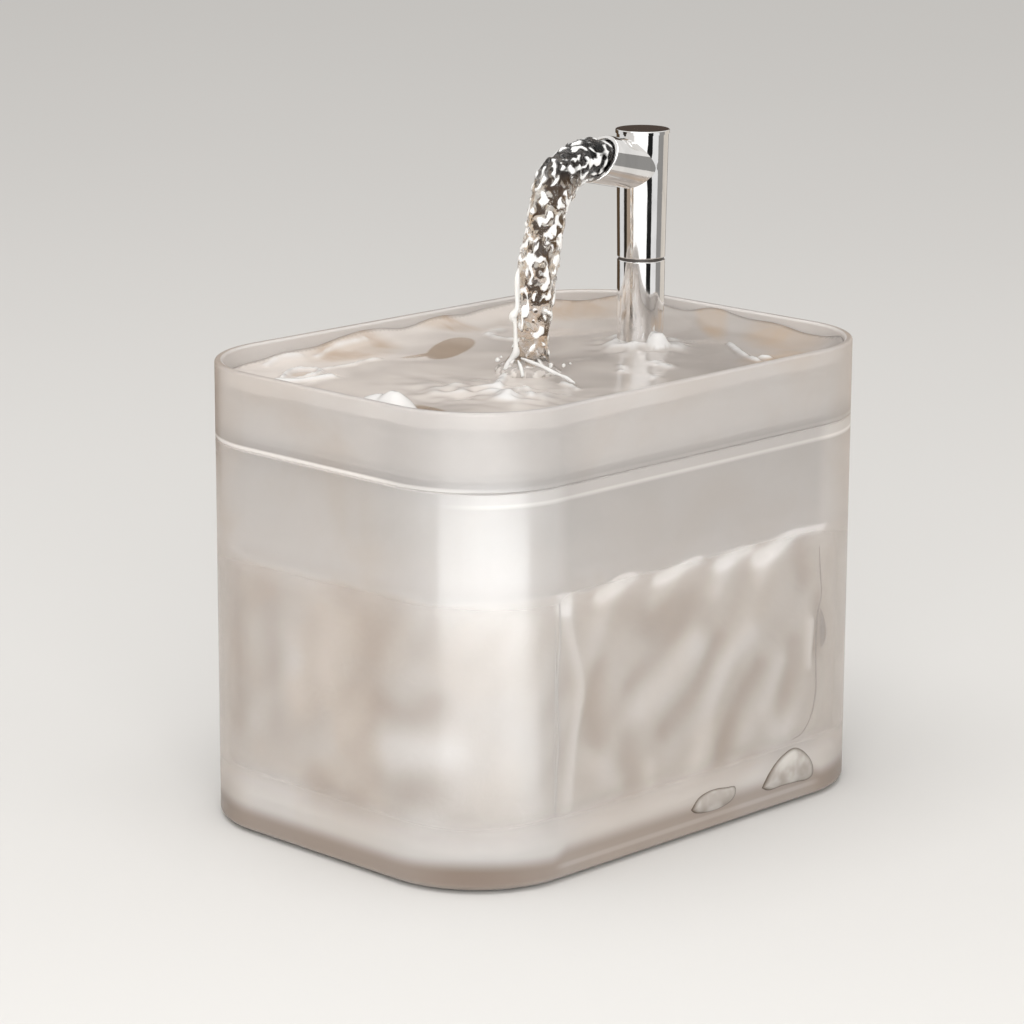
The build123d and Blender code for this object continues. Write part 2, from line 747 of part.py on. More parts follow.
with BuildPart() as driver_board:
    with BuildSketch(across(board_front)):
        with Locations((0, -board_drop)):
            Rectangle(board_width, board_height)
    extrude(amount=1.2)
driver_board.part.label = "driver_board"

gland_z = pump_height / 2 - pump_wall - gland_radius - 1.6
gland_front = board_front + 0.6
potting_back = casing_back - 0.6

with BuildPart() as motor_potting:
    with BuildSketch(across(cavity_front + layer_gap)):
        with Locations((0, room_rise)):
            RectangleRounded(
                room_width - 2 * layer_gap,
                room_height - 2 * layer_gap,
                room_radius - layer_gap,
            )
    extrude(amount=potting_back - cavity_front)
    with BuildSketch(across(cavity_front)):
        Circle(core_outer + layer_gap)
    extrude(amount=coil_length + 2 * layer_gap + 1.0, mode=Mode.SUBTRACT)
    with BuildSketch(across(cavity_front)):
        Circle(well_radius + well_wall + layer_gap)
    extrude(amount=well_end + well_wall + layer_gap - cavity_front, mode=Mode.SUBTRACT)
    with BuildSketch(across(board_front - layer_gap)):
        with Locations((0, -board_drop)):
            Rectangle(board_width + 2 * layer_gap, board_height + 2 * layer_gap)
    extrude(amount=1.2 + 2 * layer_gap, mode=Mode.SUBTRACT)
    with BuildSketch(across(gland_front - layer_gap)):
        with Locations((0, gland_z)):
            Circle(gland_radius + layer_gap)
    extrude(amount=casing_depth, mode=Mode.SUBTRACT)
motor_potting.part.label = "motor_potting"

with BuildPart() as pump_gland:
    with BuildSketch(across(gland_front)):
        with Locations((0, gland_z)):
            Circle(gland_radius)
    extrude(amount=casing_back - gland_front + gland_length)
    fillet(pump_gland.edges().group_by(Axis.Y)[-1], 0.8)
    with BuildSketch(across(gland_front + 1.0)):
        with Locations((0, gland_z)):
            Circle(cable_bore)
    extrude(amount=casing_depth, mode=Mode.SUBTRACT)
pump_gland.part.label = "pump_gland"

intake_front = casing_front - intake_depth
cover_wall = pump_wall
pin_radius = 1.5

with BuildPart() as intake_cover:
    with BuildSketch(across(intake_front)):
        RectangleRounded(pump_width, pump_height, pump_radius)
    extrude(amount=intake_depth - layer_gap)
    fillet(intake_cover.faces().sort_by(Axis.Y)[0].edges(), 1.2)
    with BuildSketch(across(intake_front + cover_wall)):
        RectangleRounded(pump_width - 2 * cover_wall, pump_height - 2 * cover_wall, pump_radius - cover_wall)
    extrude(amount=intake_depth, mode=Mode.SUBTRACT)
    with BuildSketch(across(casing_front - layer_gap - cover_wall)):
        with Locations((pump_width / 2 - arm_thickness / 2, 0), (-pump_width / 2 + arm_thickness / 2, 0)):
            Rectangle(arm_thickness, arm_width)
    extrude(amount=arm_length + cover_wall)
    # Fan-shaped inlets that the shutter uncovers
    with BuildSketch(across(intake_front)):
        with PolarLocations(0, fan_count):
            with BuildLine():
                inner_arc = CenterArc((0, 0), 3.4, -fan_angle / 2, fan_angle)
                outer_arc = CenterArc((0, 0), shutter_radius - 1.2, -fan_angle / 2, fan_angle)
                Line(inner_arc @ 0, outer_arc @ 0)
                Line(inner_arc @ 1, outer_arc @ 1)
            make_face()
    extrude(amount=cover_wall, mode=Mode.SUBTRACT)
    with BuildSketch(across(intake_front)):
        Circle(pin_radius + run_slip)
    extrude(amount=cover_wall, mode=Mode.SUBTRACT)
intake_cover.part.label = "intake_cover"

with BuildPart() as intake_foam:
    with BuildSketch(across(intake_front + 2 * cover_wall)):
        RectangleRounded(
            pump_width - 2 * cover_wall - 2 * lift_slip,
            pump_height - 2 * cover_wall - 2 * lift_slip,
            pump_radius - cover_wall - lift_slip,
        )
    extrude(amount=intake_depth - 2 * cover_wall - lift_slip)
intake_foam.part.label = "intake_foam"

shutter_front = intake_front - layer_gap - shutter_thickness

with BuildPart() as flow_shutter:
    with BuildSketch(across(shutter_front)):
        Circle(shutter_radius)
        with PolarLocations(0, fan_count):
            with BuildLine():
                near_arc = CenterArc((0, 0), 3.4, -fan_angle / 2, fan_angle)
                far_arc = CenterArc((0, 0), shutter_radius - 1.2, -fan_angle / 2, fan_angle)
                Line(near_arc @ 0, far_arc @ 0)
                Line(near_arc @ 1, far_arc @ 1)
            make_face(mode=Mode.SUBTRACT)
    extrude(amount=shutter_thickness)
    with BuildSketch(across(shutter_front - 2.4)):
        Rectangle(1.6, 2 * shutter_radius - 3.0)
    extrude(amount=2.4)
    with BuildSketch(across(shutter_front)):
        Circle(pin_radius)
    extrude(amount=shutter_thickness + layer_gap + cover_wall)
flow_shutter.part.label = "flow_shutter"

hose_bottom = pump_top + 1.2 + layer_gap
hose_top = socket_z - spigot_length - tail_length + hose_overlap

with BuildPart() as outlet_hose:
    with BuildSketch(around_faucet(hose_bottom)):
        Circle(pipe_radius + push_slip + hose_wall)
        Circle(pipe_radius + push_slip, mode=Mode.SUBTRACT)
    extrude(amount=hose_top - hose_bottom)
outlet_hose.part.label = "outlet_hose"

# ---------------------------------------------------------------- files

pieces = [
    builder.part
    for builder in (
        tank,
        tank_feet,
        cable_grommet,
        tray,
        filter_basket,
        cartridge_shell,
        filter_grate,
        riser_pipe,
        spigot_o_ring,
        faucet_column,
        column_bush,
        swivel_washer,
        faucet_head,
        head_o_ring,
        retaining_clip,
        head_cap,
        pump_casing,
        suction_cups,
        volute_cover,
        shaft_bushes,
        impeller_shaft,
        impeller,
        rotor_magnet,
        stator_core,
        stator_coils,
        driver_board,
        motor_potting,
        pump_gland,
        intake_cover,
        intake_foam,
        flow_shutter,
        outlet_hose,
    )
] + [filter_foam, resin_bed, carbon_bed, cotton_pad]

for piece in pieces:
    export_step(piece, f"parts/{piece.label}.step")
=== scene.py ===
"""Looks of the pet water fountain: finishes for its parts, the water in it, and a stage."""

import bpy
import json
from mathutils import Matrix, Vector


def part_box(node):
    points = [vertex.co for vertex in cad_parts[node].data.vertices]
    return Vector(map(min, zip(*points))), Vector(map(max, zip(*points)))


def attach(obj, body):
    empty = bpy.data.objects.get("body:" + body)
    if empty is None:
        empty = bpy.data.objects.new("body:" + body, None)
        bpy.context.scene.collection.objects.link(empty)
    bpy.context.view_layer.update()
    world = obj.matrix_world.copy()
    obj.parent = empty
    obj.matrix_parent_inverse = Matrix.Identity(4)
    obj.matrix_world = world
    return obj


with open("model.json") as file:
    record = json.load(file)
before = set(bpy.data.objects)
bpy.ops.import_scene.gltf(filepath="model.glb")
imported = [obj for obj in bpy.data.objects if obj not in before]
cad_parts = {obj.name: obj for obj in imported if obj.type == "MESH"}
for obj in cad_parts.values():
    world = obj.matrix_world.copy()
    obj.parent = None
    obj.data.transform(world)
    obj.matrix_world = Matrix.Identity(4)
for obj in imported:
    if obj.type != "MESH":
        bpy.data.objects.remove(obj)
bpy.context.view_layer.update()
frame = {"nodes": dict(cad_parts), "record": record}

import json
import math

import bmesh
import bpy
import numpy as np
from bpy.props import FloatProperty, FloatVectorProperty, IntProperty, PointerProperty
from mathutils import Matrix, Vector, noise
from mathutils.geometry import delaunay_2d_cdt

bl_info = {
    "name": "Water Fountain Looks",
    "version": (1, 0, 0),
    "blender": (4, 5, 0),
    "location": "View3D > Sidebar > Fountain",
    "description": "Finishes, water and stage for a pet water fountain",
    "category": "Object",
}

MM = 0.001
TANK_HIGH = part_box("tank")[1]
TRAY_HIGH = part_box("tray")[1]
COLUMN_LOW, COLUMN_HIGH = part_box("faucet_column")
FAUCET_Y = (COLUMN_LOW.y + COLUMN_HIGH.y) / 2

# Inside of the walls, as the part is moulded.
WALL = 2.4 * MM
CORNER_RADIUS = 33.0 * MM - WALL
HALF_WIDTH = TANK_HIGH.x - WALL
HALF_LENGTH = TANK_HIGH.y - WALL
TANK_FLOOR = 8.4 * MM
FLOOR_FILLET = 5.0 * MM
TRAY_FLOOR = 119.2 * MM

# How light bends in water, and the scale of a wave texture whose bands are a metre apart.
WATER_IOR = 1.333
WAVE_SCALE = 0.3

# Degrees from the front round to the camera.
CAMERA_AZIMUTH = 44.4

# Marks on the tray's water, in millimetres: white strokes on wave tops (amount, half-width, path), which are
# painted highlights,
# and ovals (centre, two half-diameters, softness): tan ones of painted warm light showing through the water,
# darker ones of painted shade.
CREST_STROKES = [
    (1.9, 1.8, [(-40.5, -69.5), (-36, -67.5), (-32.5, -64.5), (-31, -60.5), (-30.2, -57)]),
    (1.5, 0.8, [(-41.5, -66), (-46.8, -59), (-48.4, -53), (-45.6, -49.2), (-40.8, -51.4), (-36.8, -57.2),
                (-37.5, -64)]),
    (1.0, 1.1, [(-43, -48), (-42, -44), (-40, -39), (-40.5, -34), (-39.5, -29)]),
    (0.9, 1.2, [(-58, -58), (-60.5, -50), (-59.5, -42)]),
    (0.8, 1.3, [(-57, -38), (-59.5, -28), (-59, -16)]),
    (0.9, 1.2, [(-46, 25), (-40, 23.6), (-34, 23.7)]),
    (1.0, 2.2, [(21, 29.5), (27, 28)]), (0.8, 1.2, [(15, 20.2), (20.5, 14.6)]),
    (0.6, 1.6, [(31, 18), (35, 14)]), (0.8, 2.4, [(-47, 27), (-50, 34)]),
    (1.9, 0.9, [(16, 69), (31, 59), (40, 54.5)]),
    (1.9, 1.4, [(37, 60), (38.5, 60)]),
    (0.4, 1.8, [(40, -18), (43, -5), (44, 10)]),
    (0.35, 3.0, [(-6, -82), (0, -78)]),
    (2.0, 1.0, [(-0.3, -14.2), (3.2, -19.2), (8.2, -25.2), (13.2, -30.3)]),
    (1.0, 0.9, [(19, -9.6), (24, -11), (28, -12.6)]),
    (0.7, 0.9, [(17, -23), (24, -28), (29, -33)]),
    (0.8, 2.2, [(12, -31), (18, -35)]), (1.6, 2.4, [(22, -36.5), (27.5, -40)]),
]
# Where a wave top stands up, painted white as painted highlight and foam: centre, two half-diameters,
# height.
HEAPS = [((10.2, -69.6), (7.4, -0.6), (0.5, 5.6), 5.2), ((5.6, -69.8), (8.0, 0.3), (0.4, 4.6), 3.4),
         ((8.8, 43.8), (2.8, 1.6), (-1.6, 3.2), 4.6)]
# Where the splash leaves foam, also painted white with painted highlights: share, place and size.
FROTH = [(1.0, 7, -40, 15), (0.8, 27, -32, 13)]
WARM_LIGHT_PATCHES = [
    ((-55, -25), (8, 17), (-12, 12), 0.7), ((-42.6, -57.4), (-2.6, 4.6), (2.6, 1.9), 0.5),
    ((-60, 18), (9, 14), (-6, 4), 0.9), ((-9, 88), (18, -11), (-12.5, 17.5), 0.7),
    ((27, 82), (18, 4), (-12, 14), 0.8), ((-54, 74), (12, 14), (-14, 14), 0.8),
    ((44, 60), (12, 10), (-10, 16), 0.9),
]
SHADE_PATCHES = [
    ((-38, 0.6), (-4.2, 15.2), (9.4, -7.6), 0.22), ((-37, -15), (1, 7), (-2.5, 1.5), 0.7),
    ((19.5, -64.2), (11, -2.6), (-3, 4.6), 0.6),
]

# Folds of the tank's water beside its walls, in millimetres along the wall and up:
# (amount, half-width, path); positive amounts are painted light and negative ones painted shade, and each
# sets how far the water stands in. The first set is for a long side, the second for a short one.
LONG_SIDE_FOLDS = [
    (0.30, 6.0, [(2, 59), (-7, 52), (-19, 44)]),
    (0.36, 3.8, [(27, 58), (18, 51), (11, 40), (7, 30), (1, 16)]),
    (0.60, 1.3, [(55.6, 56), (55.2, 42)]),
    (0.28, 3.4, [(42, 46), (35, 34)]),
    (0.26, 4.4, [(-41, 34), (-30, 23)]), (0.26, 2.6, [(-16.5, 26), (-16.4, 15)]),
    (0.40, 2.6, [(-3, 13), (8, 12.6), (22, 17)]), (0.24, 6.0, [(28, 27), (36, 29), (45, 25)]),
    (0.50, 1.8, [(-53, 81), (-49.4, 69), (-46, 55), (-49, 39), (-52, 16)]),
    (0.20, 4.0, [(-32, 81), (-37, 73), (-41, 64)]), (0.26, 3.4, [(-8, 82), (-15, 75)]),
    (0.24, 3.0, [(17, 81), (12, 74)]), (0.24, 3.0, [(36, 81), (32, 75)]),
    (-0.20, 7.0, [(-22, 74), (-6, 66)]), (-0.24, 3.8, [(-2, 66), (-12, 58), (-24, 52)]),
    (-0.30, 4.4, [(-38, 60), (-40.7, 47), (-38.7, 38)]), (-0.34, 3.8, [(14, 58), (5, 45), (-9, 35)]),
    (-0.46, 4.2, [(33, 46), (25, 38), (19, 28), (16, 17)]), (-0.32, 4.4, [(50, 81), (52.6, 70)]),
    (-0.32, 3.8, [(49, 50), (47, 40), (43, 30)]), (-0.24, 5.4, [(-26, 36), (-24, 14)]),
    (-0.30, 3.0, [(60, 62), (60, 46)]), (-0.26, 5.5, [(-14, 68), (-2, 72), (8, 66)]),
    (0.34, 6.5, [(-68, 78), (-68, 45), (-67, 18)]), (0.14, 5, [(5, 32), (9, 20)]),
    (0.30, 4.4, [(-46, 15), (-22, 14), (-2, 14)]),
]
SHORT_SIDE_FOLDS = [
    (0.30, 5.5, [(-13, 62), (-12, 46)]), (0.22, 6.0, [(2, 76), (0, 62), (2, 50)]),
    (0.60, 5.5, [(28, 38), (38, 40), (50, 41)]), (0.36, 6.0, [(-34, 15), (-13, 14)]),
    (0.2, 7.0, [(8, 40), (2, 30)]), (0.25, 6.0, [(24, 16), (42, 20)]),
    (-0.16, 6.0, [(16, 80), (20, 58)]), (-0.34, 4.5, [(22, 51), (34, 50), (44, 55)]),
    (-0.35, 6.0, [(-42, 84), (-42, 66), (-40, 50), (-42, 34)]),
    (-0.34, 6.0, [(-4, 20), (12, 17)]), (-0.20, 5.0, [(-24, 76), (-22, 34)]),
    (-0.25, 6.0, [(24, 28), (44, 27)]),
]
# Where the waterline of a long side glows with painted light, in the same form as the folds.
LONG_SIDE_GLOWS = [
    (1.7, 2.4, [(-38, 81.4), (-31, 83.0), (-25.5, 85.0)]), (1.6, 2.0, [(-14, 81.6), (-5, 83.4), (3, 85.0)]),
    (1.5, 2.2, [(13, 81.2), (19, 82.4), (26, 84.2)]), (1.8, 2.6, [(31, 79.8), (38, 81.6), (44.5, 84.6)]),
    (1.2, 1.6, [(46, 84.8), (53, 85.2), (59.5, 85.0)]), (4.5, 2.0, [(-53.5, 84.0), (-53, 81.0)]),
]
# How high the water stands at a long side: (along the wall, height).
LONG_SIDE_EDGE = [
    (-90, 85), (-57, 85.6), (-46, 84.6), (-38, 85), (-29, 86.8), (-20, 85.4), (-12, 84.6), (-5, 85.6),
    (3, 86.4), (9, 84.9), (17, 85.6), (26, 85.4), (36, 85.6), (45, 86.8), (55, 86.4), (90, 85),
]


# ---------------------------------------------------------------- shader maths


class Wire:
    """An output socket that can stand in a plain expression, which adds its Math nodes."""

    def __init__(self, finish, socket):
        self.finish = finish
        self.socket = socket

    def maths(self, operation, *values):
        return self.finish.node("ShaderNodeMath", {"operation": operation}, dict(enumerate(values)))

    def __add__(self, other):
        return self.maths("ADD", self, other)

    def __radd__(self, other):
        return self.maths("ADD", other, self)

    def __sub__(self, other):
        return self.maths("SUBTRACT", self, other)

    def __rsub__(self, other):
        return self.maths("SUBTRACT", other, self)

    def __mul__(self, other):
        return self.maths("MULTIPLY", self, other)

    def __rmul__(self, other):
        return self.maths("MULTIPLY", other, self)

    def __abs__(self):
        return self.maths("ABSOLUTE", self)

    def step(self, low, high):
        """0 below low and 1 above high, with a smooth rise between."""
        return self.finish.node(
            "ShaderNodeMapRange",
            {"interpolation_type": "SMOOTHSTEP"},
            {"Value": self, "From Min": low, "From Max": high},
        )


class Finish:
    """A node material with one Principled shader, and the calls that feed it."""

    def __init__(self, name, **constants):
        self.material = bpy.data.materials.new(name)
        self.material.use_nodes = True
        self.tree = self.material.node_tree
        self.tree.nodes.clear()
        self.surface = self.tree.nodes.new("ShaderNodeOutputMaterial").inputs["Surface"]
        self.shader = self.node("ShaderNodeBsdfPrincipled")
        self.feed(self.surface, self.shader)
        self.set(constants)

    def feed(self, socket, value):
        """Links a socket to a wire, or sets its own value."""
        if isinstance(value, Wire):
            self.tree.links.new(value.socket, socket)
        elif socket.type == "RGBA":
            socket.default_value = (*value, 1.0)[:4]
        else:
            socket.default_value = value

    def set(self, sockets, shader=None):
        """Feeds a shader's sockets, which are named as in base_color."""
        inputs = (shader or self.shader).socket.node.inputs
        for name, value in sockets.items():
            self.feed(inputs[name.replace("_", " ").title().replace("Ior", "IOR")], value)

    def veil(self, share, **sockets):
        """A second shader that covers the first where share is 1."""
        cover = self.node("ShaderNodeBsdfPrincipled")
        self.set(sockets, cover)
        both = self.node("ShaderNodeMixShader", sockets={0: share, 1: self.shader, 2: cover})
        self.feed(self.surface, both)

    def node(self, kind, settings=None, sockets=None, output=0):
        """A new node, with its settings made before its sockets are fed."""
        made = self.tree.nodes.new(kind)
        for name, value in (settings or {}).items():
            setattr(made, name, value)
        for name, value in (sockets or {}).items():
            self.feed(made.inputs[name], value)
        return Wire(self, made.outputs[output])

    def place(self, stretch=(1, 1, 1)):
        """Coordinates in metres in the part's own frame, stretched along each axis."""
        at = self.node("ShaderNodeTexCoord", output="Object")
        if tuple(stretch) == (1, 1, 1):
            return at
        return self.node("ShaderNodeVectorMath", {"operation": "MULTIPLY"}, {0: at, 1: stretch})

    def along(self, axis):
        """The place along one axis, in metres."""
        return self.node("ShaderNodeSeparateXYZ", sockets={0: self.place()}, output=axis)

    def cloud(self, size, detail=2.0, rough=0.5, warp=0.0, at=None):
        """Noise whose lumps are about size metres wide."""
        return self.node(
            "ShaderNodeTexNoise",
            sockets={
                "Vector": at or self.place(),
                "Scale": 1 / size,
                "Detail": detail,
                "Roughness": rough,
                "Distortion": warp,
            },
        )

    def cells(self, size, feature="F1"):
        """Distance within cells about size metres wide."""
        return self.node(
            "ShaderNodeTexVoronoi",
            {"feature": feature},
            {"Vector": self.place(), "Scale": 1 / size},
            output="Distance",
        )

    def lines(self, axis, pitch, **sockets):
        """Bands across an axis, about pitch metres from one to the next."""
        return self.node(
            "ShaderNodeTexWave",
            {"wave_type": "BANDS", "bands_direction": axis},
            {"Vector": self.place(), "Scale": WAVE_SCALE / pitch, **sockets},
        )

    def mix(self, factor, first, second, blend="MIX"):
        """A colour between two others, or their product with blend as MULTIPLY."""
        return self.node(
            "ShaderNodeMix",
            {"data_type": "RGBA", "blend_type": blend},
            {0: factor, 6: first, 7: second},
            output=2,
        )

    def bump(self, height, depth):
        """A normal from a height of 0 to 1 that stands for depth metres."""
        return self.node("ShaderNodeBump", sockets={"Height": height, "Distance": depth, "Strength": 1.0})

    def mark(self, name):
        """A number kept on the mesh's points."""
        return self.node("ShaderNodeAttribute", {"attribute_name": name}, output="Fac")


def tone(colour, factor):
    """A colour times a factor, or times a factor for each of its channels."""
    factors = factor if isinstance(factor, tuple) else (factor,) * len(colour)
    return tuple(min(1.0, c * f) for c, f in zip(colour, factors))


# ---------------------------------------------------------------- mesh helpers


def unit(value):
    """The value, kept from 0 to 1."""
    return min(1.0, max(0.0, value))


def ripple(x, y, width, length, layer):
    """A smooth random height from about -1 to 1, with lumps of a width and a length.

    Each layer is a field of its own.
    """
    return noise.noise(Vector((x / width, y / length, layer)))


def mesh_object(name, points, faces, finish):
    """An object in the scene with a mesh and its finish."""
    mesh = bpy.data.meshes.new(name)
    mesh.from_pydata([tuple(p) for p in points], [], faces)
    mesh.materials.append(finish.material)
    thing = bpy.data.objects.new(name, mesh)
    bpy.context.scene.collection.objects.link(thing)
    return thing


def new_piece(name, points, faces, finish, body, marks=None):
    """A smooth mesh piece that rides on body, with marks as numbers on its points."""
    piece = mesh_object(name, points, faces, finish)
    mesh = piece.data
    mesh.polygons.foreach_set("use_smooth", [True] * len(mesh.polygons))
    for mark, values in (marks or {}).items():
        mesh.attributes.new(mark, "FLOAT", "POINT").data.foreach_set("value", values)
    work = bmesh.new()
    work.from_mesh(mesh)
    bmesh.ops.recalc_face_normals(work, faces=work.faces)
    work.to_mesh(mesh)
    work.free()
    mesh.update()
    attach(piece, body)


def between(first, second):
    """Quads between two closed rings of point numbers."""
    turn = len(first)
    return [(first[k], first[(k + 1) % turn], second[(k + 1) % turn], second[k]) for k in range(turn)]


def rounded_outline(half_x, half_y, radius, step):
    """Points anticlockwise around a rounded rectangle, and their outward normals."""
    points, normals = [], []
    centres = [(half_x - radius, half_y - radius), (radius - half_x, half_y - radius),
               (radius - half_x, radius - half_y), (half_x - radius, radius - half_y)]
    arc_steps = max(8, round(radius * math.pi / 2 / step))
    for corner, (cx, cy) in enumerate(centres):
        for k in range(arc_steps + 1):
            turn = (corner + k / arc_steps) * math.pi / 2
            normals.append((math.cos(turn), math.sin(turn)))
            points.append((cx + radius * math.cos(turn), cy + radius * math.sin(turn)))
        run = 2 * ((half_x if corner % 2 == 0 else half_y) - radius)
        run_steps = max(1, round(run / step))
        out = (corner + 1) * math.pi / 2
        for k in range(1, run_steps):
            normals.append((math.cos(out), math.sin(out)))
            points.append((points[-k][0] - math.sin(out) * run * k / run_steps,
                           points[-k][1] + math.cos(out) * run * k / run_steps))
    return np.array(points), np.array(normals)


def depth_inside(x, y, half_x, half_y, radius):
    """How far a point lies inside a rounded rectangle."""
    qx, qy = abs(x) - half_x + radius, abs(y) - half_y + radius
    return radius - math.hypot(max(qx, 0), max(qy, 0)) - min(max(qx, qy), 0)


def filled(outline, holes, inside, step):
    """Points and triangles that fill an outline less its round holes.

    The outline's and the holes' own points come first, in their order, and with a step of 0
    there are no others. inside(x, y) is how far a point lies inside.
    """
    row_pitch = 0.866  # of rows of triangles with sides of 1
    clear = 0.55  # of a step, from a grid point to the outline
    enclosed, same_point = 1, 1e-9  # what the triangles fill, and how near two points are one
    points = [Vector(p) for p in outline]
    edges = [(k, (k + 1) % len(outline)) for k in range(len(outline))]
    for ring in holes:
        first = len(points)
        points += [Vector(p) for p in ring]
        edges += [(first + k, first + (k + 1) % len(ring)) for k in range(len(ring))]
    low, high = outline.min(0), outline.max(0)
    if step:
        for row in range(int((high[1] - low[1]) / (step * row_pitch)) + 1):
            y = low[1] + row * step * row_pitch
            for column in range(int((high[0] - low[0]) / step) + 2):
                x = low[0] + (column + (row % 2) / 2) * step
                if inside(x, y) > clear * step:
                    points.append(Vector((x, y)))
    found, _, faces, origins, _, _ = delaunay_2d_cdt(points, edges, [], enclosed, same_point)
    order = [origin[0] for origin in origins]
    kept = []
    for face in faces:
        centre = sum((found[v] for v in face), Vector((0, 0))) / 3
        if inside(*centre) > 0:
            kept.append([order[v] for v in face])
    return np.array([tuple(p) for p in points]), kept


def swept_tube(path, radii, sides, lump=None):
    """Points and faces of a closed tube along path, whose radius lump(point, k) adds to."""
    sideways = Vector((1, 0, 0))
    points, faces = [], []
    count = len(path)
    for k, centre in enumerate(path):
        ahead = (path[min(k + 1, count - 1)] - path[max(k - 1, 0)]).normalized()
        across = (sideways - ahead * sideways.dot(ahead)).normalized()
        over = ahead.cross(across)
        for s in range(sides):
            turn = 2 * math.pi * s / sides
            out = across * math.cos(turn) + over * math.sin(turn)
            place = centre + out * radii[k]
            if lump:
                place = centre + out * (radii[k] + lump(place, k))
            points.append(place)
    rings = [range(k * sides, (k + 1) * sides) for k in range(count)]
    for ring, following in zip(rings, rings[1:]):
        faces += between(ring, following)
    points += [path[0], path[-1]]
    first, last = len(points) - 2, len(points) - 1
    for s in range(sides):
        t = (s + 1) % sides
        faces.append((first, t, s))
        faces.append((last, (count - 1) * sides + s, (count - 1) * sides + t))
    return points, faces


def smooth_path(corners, steps):
    """A smooth line through corners, each a tuple of numbers, with steps points to each run."""
    corners = [np.array(c, float) for c in corners]
    padded = [2 * corners[0] - corners[1], *corners, 2 * corners[-1] - corners[-2]]
    line = []
    for a, b, c, d in zip(padded, padded[1:], padded[2:], padded[3:]):
        for k in range(steps):
            t = k / steps
            line.append(0.5 * (2 * b + (c - a) * t + (2 * a - 5 * b + 4 * c - d) * t * t
                               + (3 * b - a - 3 * c + d) * t ** 3))
    line.append(corners[-1])
    return line


def near_strokes(points, strokes):
    """How strongly soft strokes, each (amount, half-width, path), mark each point of a plane.

    All of it is in millimetres.
    """
    points = np.asarray(points, float)
    total = np.zeros(len(points))
    for amount, width, path in strokes:
        nearest = np.full(len(points), np.inf)
        path = smooth_path(path, 5) if len(path) > 2 else path
        for start, end in zip(path, path[1:]):
            a, run = np.array(start, float), np.subtract(end, start)
            along = np.clip((points - a) @ run / (run @ run), 0, 1)
            nearest = np.minimum(nearest, np.linalg.norm(points - a - along[:, None] * run, axis=1))
        total += amount * np.exp(-((nearest / width) ** 2))
    return total


def in_patch(points, centre, first, second, soft):
    """1 inside an oval with the given half-diameters, 0 outside, over a soft share of its size."""
    u, v = np.linalg.solve(np.column_stack([first, second]), (np.asarray(points, float) - centre).T)
    return np.clip((1 - np.hypot(u, v)) / soft, 0, 1)


def join_meshes(parts):
    """Points and faces of several meshes as one."""
    points, faces = [], []
    for some_points, some_faces in parts:
        first = len(points)
        points += list(some_points)
        faces += [tuple(first + v for v in face) for face in some_faces]
    return points, faces


# ---------------------------------------------------------------- sizes and colours


COLOUR = {"subtype": "COLOR", "size": 3, "min": 0.0, "max": 1.0}


class FountainWater(bpy.types.PropertyGroup):
    """Sizes of the water"""

    tray_level: FloatProperty(
        name="Tray level", description="Height of the water in the tray",
        default=133.4 * MM, min=0.123, max=0.138, unit="LENGTH")
    tray_swell: FloatProperty(
        name="Tray swell", description="Height of the swell in the tray",
        default=1.5 * MM, min=0.0, max=0.003, unit="LENGTH")
    tray_grid: FloatProperty(
        name="Tray grid", description="Spacing of the points on the tray's water",
        default=1.0 * MM, min=0.0005, max=0.005, unit="LENGTH")
    tank_level: FloatProperty(
        name="Tank level", description="Height of the water in the tank",
        default=85.2 * MM, min=0.02, max=0.088, unit="LENGTH")
    tank_relief: FloatProperty(
        name="Tank relief", description="Depth of the folds in the tank's water beside the walls",
        default=2.6 * MM, min=0.0, max=0.004, unit="LENGTH")
    stream_radius: FloatProperty(
        name="Stream radius", description="Radius of the falling stream at its middle",
        default=5.7 * MM, min=0.002, max=0.006, unit="LENGTH")
    stream_lumps: FloatProperty(
        name="Stream lumps", description="Height of the lumps on the falling stream",
        default=1.1 * MM, min=0.0, max=0.002, unit="LENGTH")
    drops: IntProperty(
        name="Drops", description="Number of drops thrown up where the stream lands",
        default=6, min=0, max=60)


class FountainColours(bpy.types.PropertyGroup):
    """Colours of the fountain and its water"""

    frosted: FloatVectorProperty(
        name="Frosted plastic", description="Colour of the tank and the tray",
        default=(0.95, 0.937, 0.925), **COLOUR)
    milk: FloatVectorProperty(
        name="Milk", description="Colour of the haze in the frosted plastic",
        default=(0.64, 0.606, 0.582), **COLOUR)
    # Used at random through the haze, and at the side corners as painted warm light that shows through.
    milk_warm: FloatVectorProperty(
        name="Warm milk", description="Colour of the haze where the plastic is denser",
        default=(0.64, 0.586, 0.542), **COLOUR)
    # Painted shade: the dark brown at the foot of the tank.
    milk_base: FloatVectorProperty(
        name="Base", description="Colour of the haze in the thick foot of the tank",
        default=(0.25, 0.182, 0.138), **COLOUR)
    chrome: FloatVectorProperty(
        name="Chrome", description="Colour of the plated faucet",
        default=(0.86, 0.85, 0.84), **COLOUR)
    white: FloatVectorProperty(
        name="White plastic", description="Colour of the filter's and the pump's mouldings",
        default=(0.78, 0.77, 0.74), **COLOUR)
    black: FloatVectorProperty(
        name="Black rubber", description="Colour of the feet, seals and bushes",
        default=(0.022, 0.022, 0.024), **COLOUR)
    water_light: FloatVectorProperty(
        name="Bright water", description="Colour of the water where it catches the light",
        default=(0.96, 0.95, 0.94), **COLOUR)
    tray_water: FloatVectorProperty(
        name="Tray water", description="Colour of the water in the tray",
        default=(0.66, 0.61, 0.57), **COLOUR)
    # Painted warm light that shows through the tray's water; a darker tone of it is painted shade.
    tray_tan: FloatVectorProperty(
        name="Tan water", description="Colour of the tray's water where the wall shows through it",
        default=(0.61, 0.475, 0.36), **COLOUR)
    water_shade: FloatVectorProperty(
        name="Shaded water", description="Colour of the water in its folds",
        default=(0.50, 0.40, 0.315), **COLOUR)


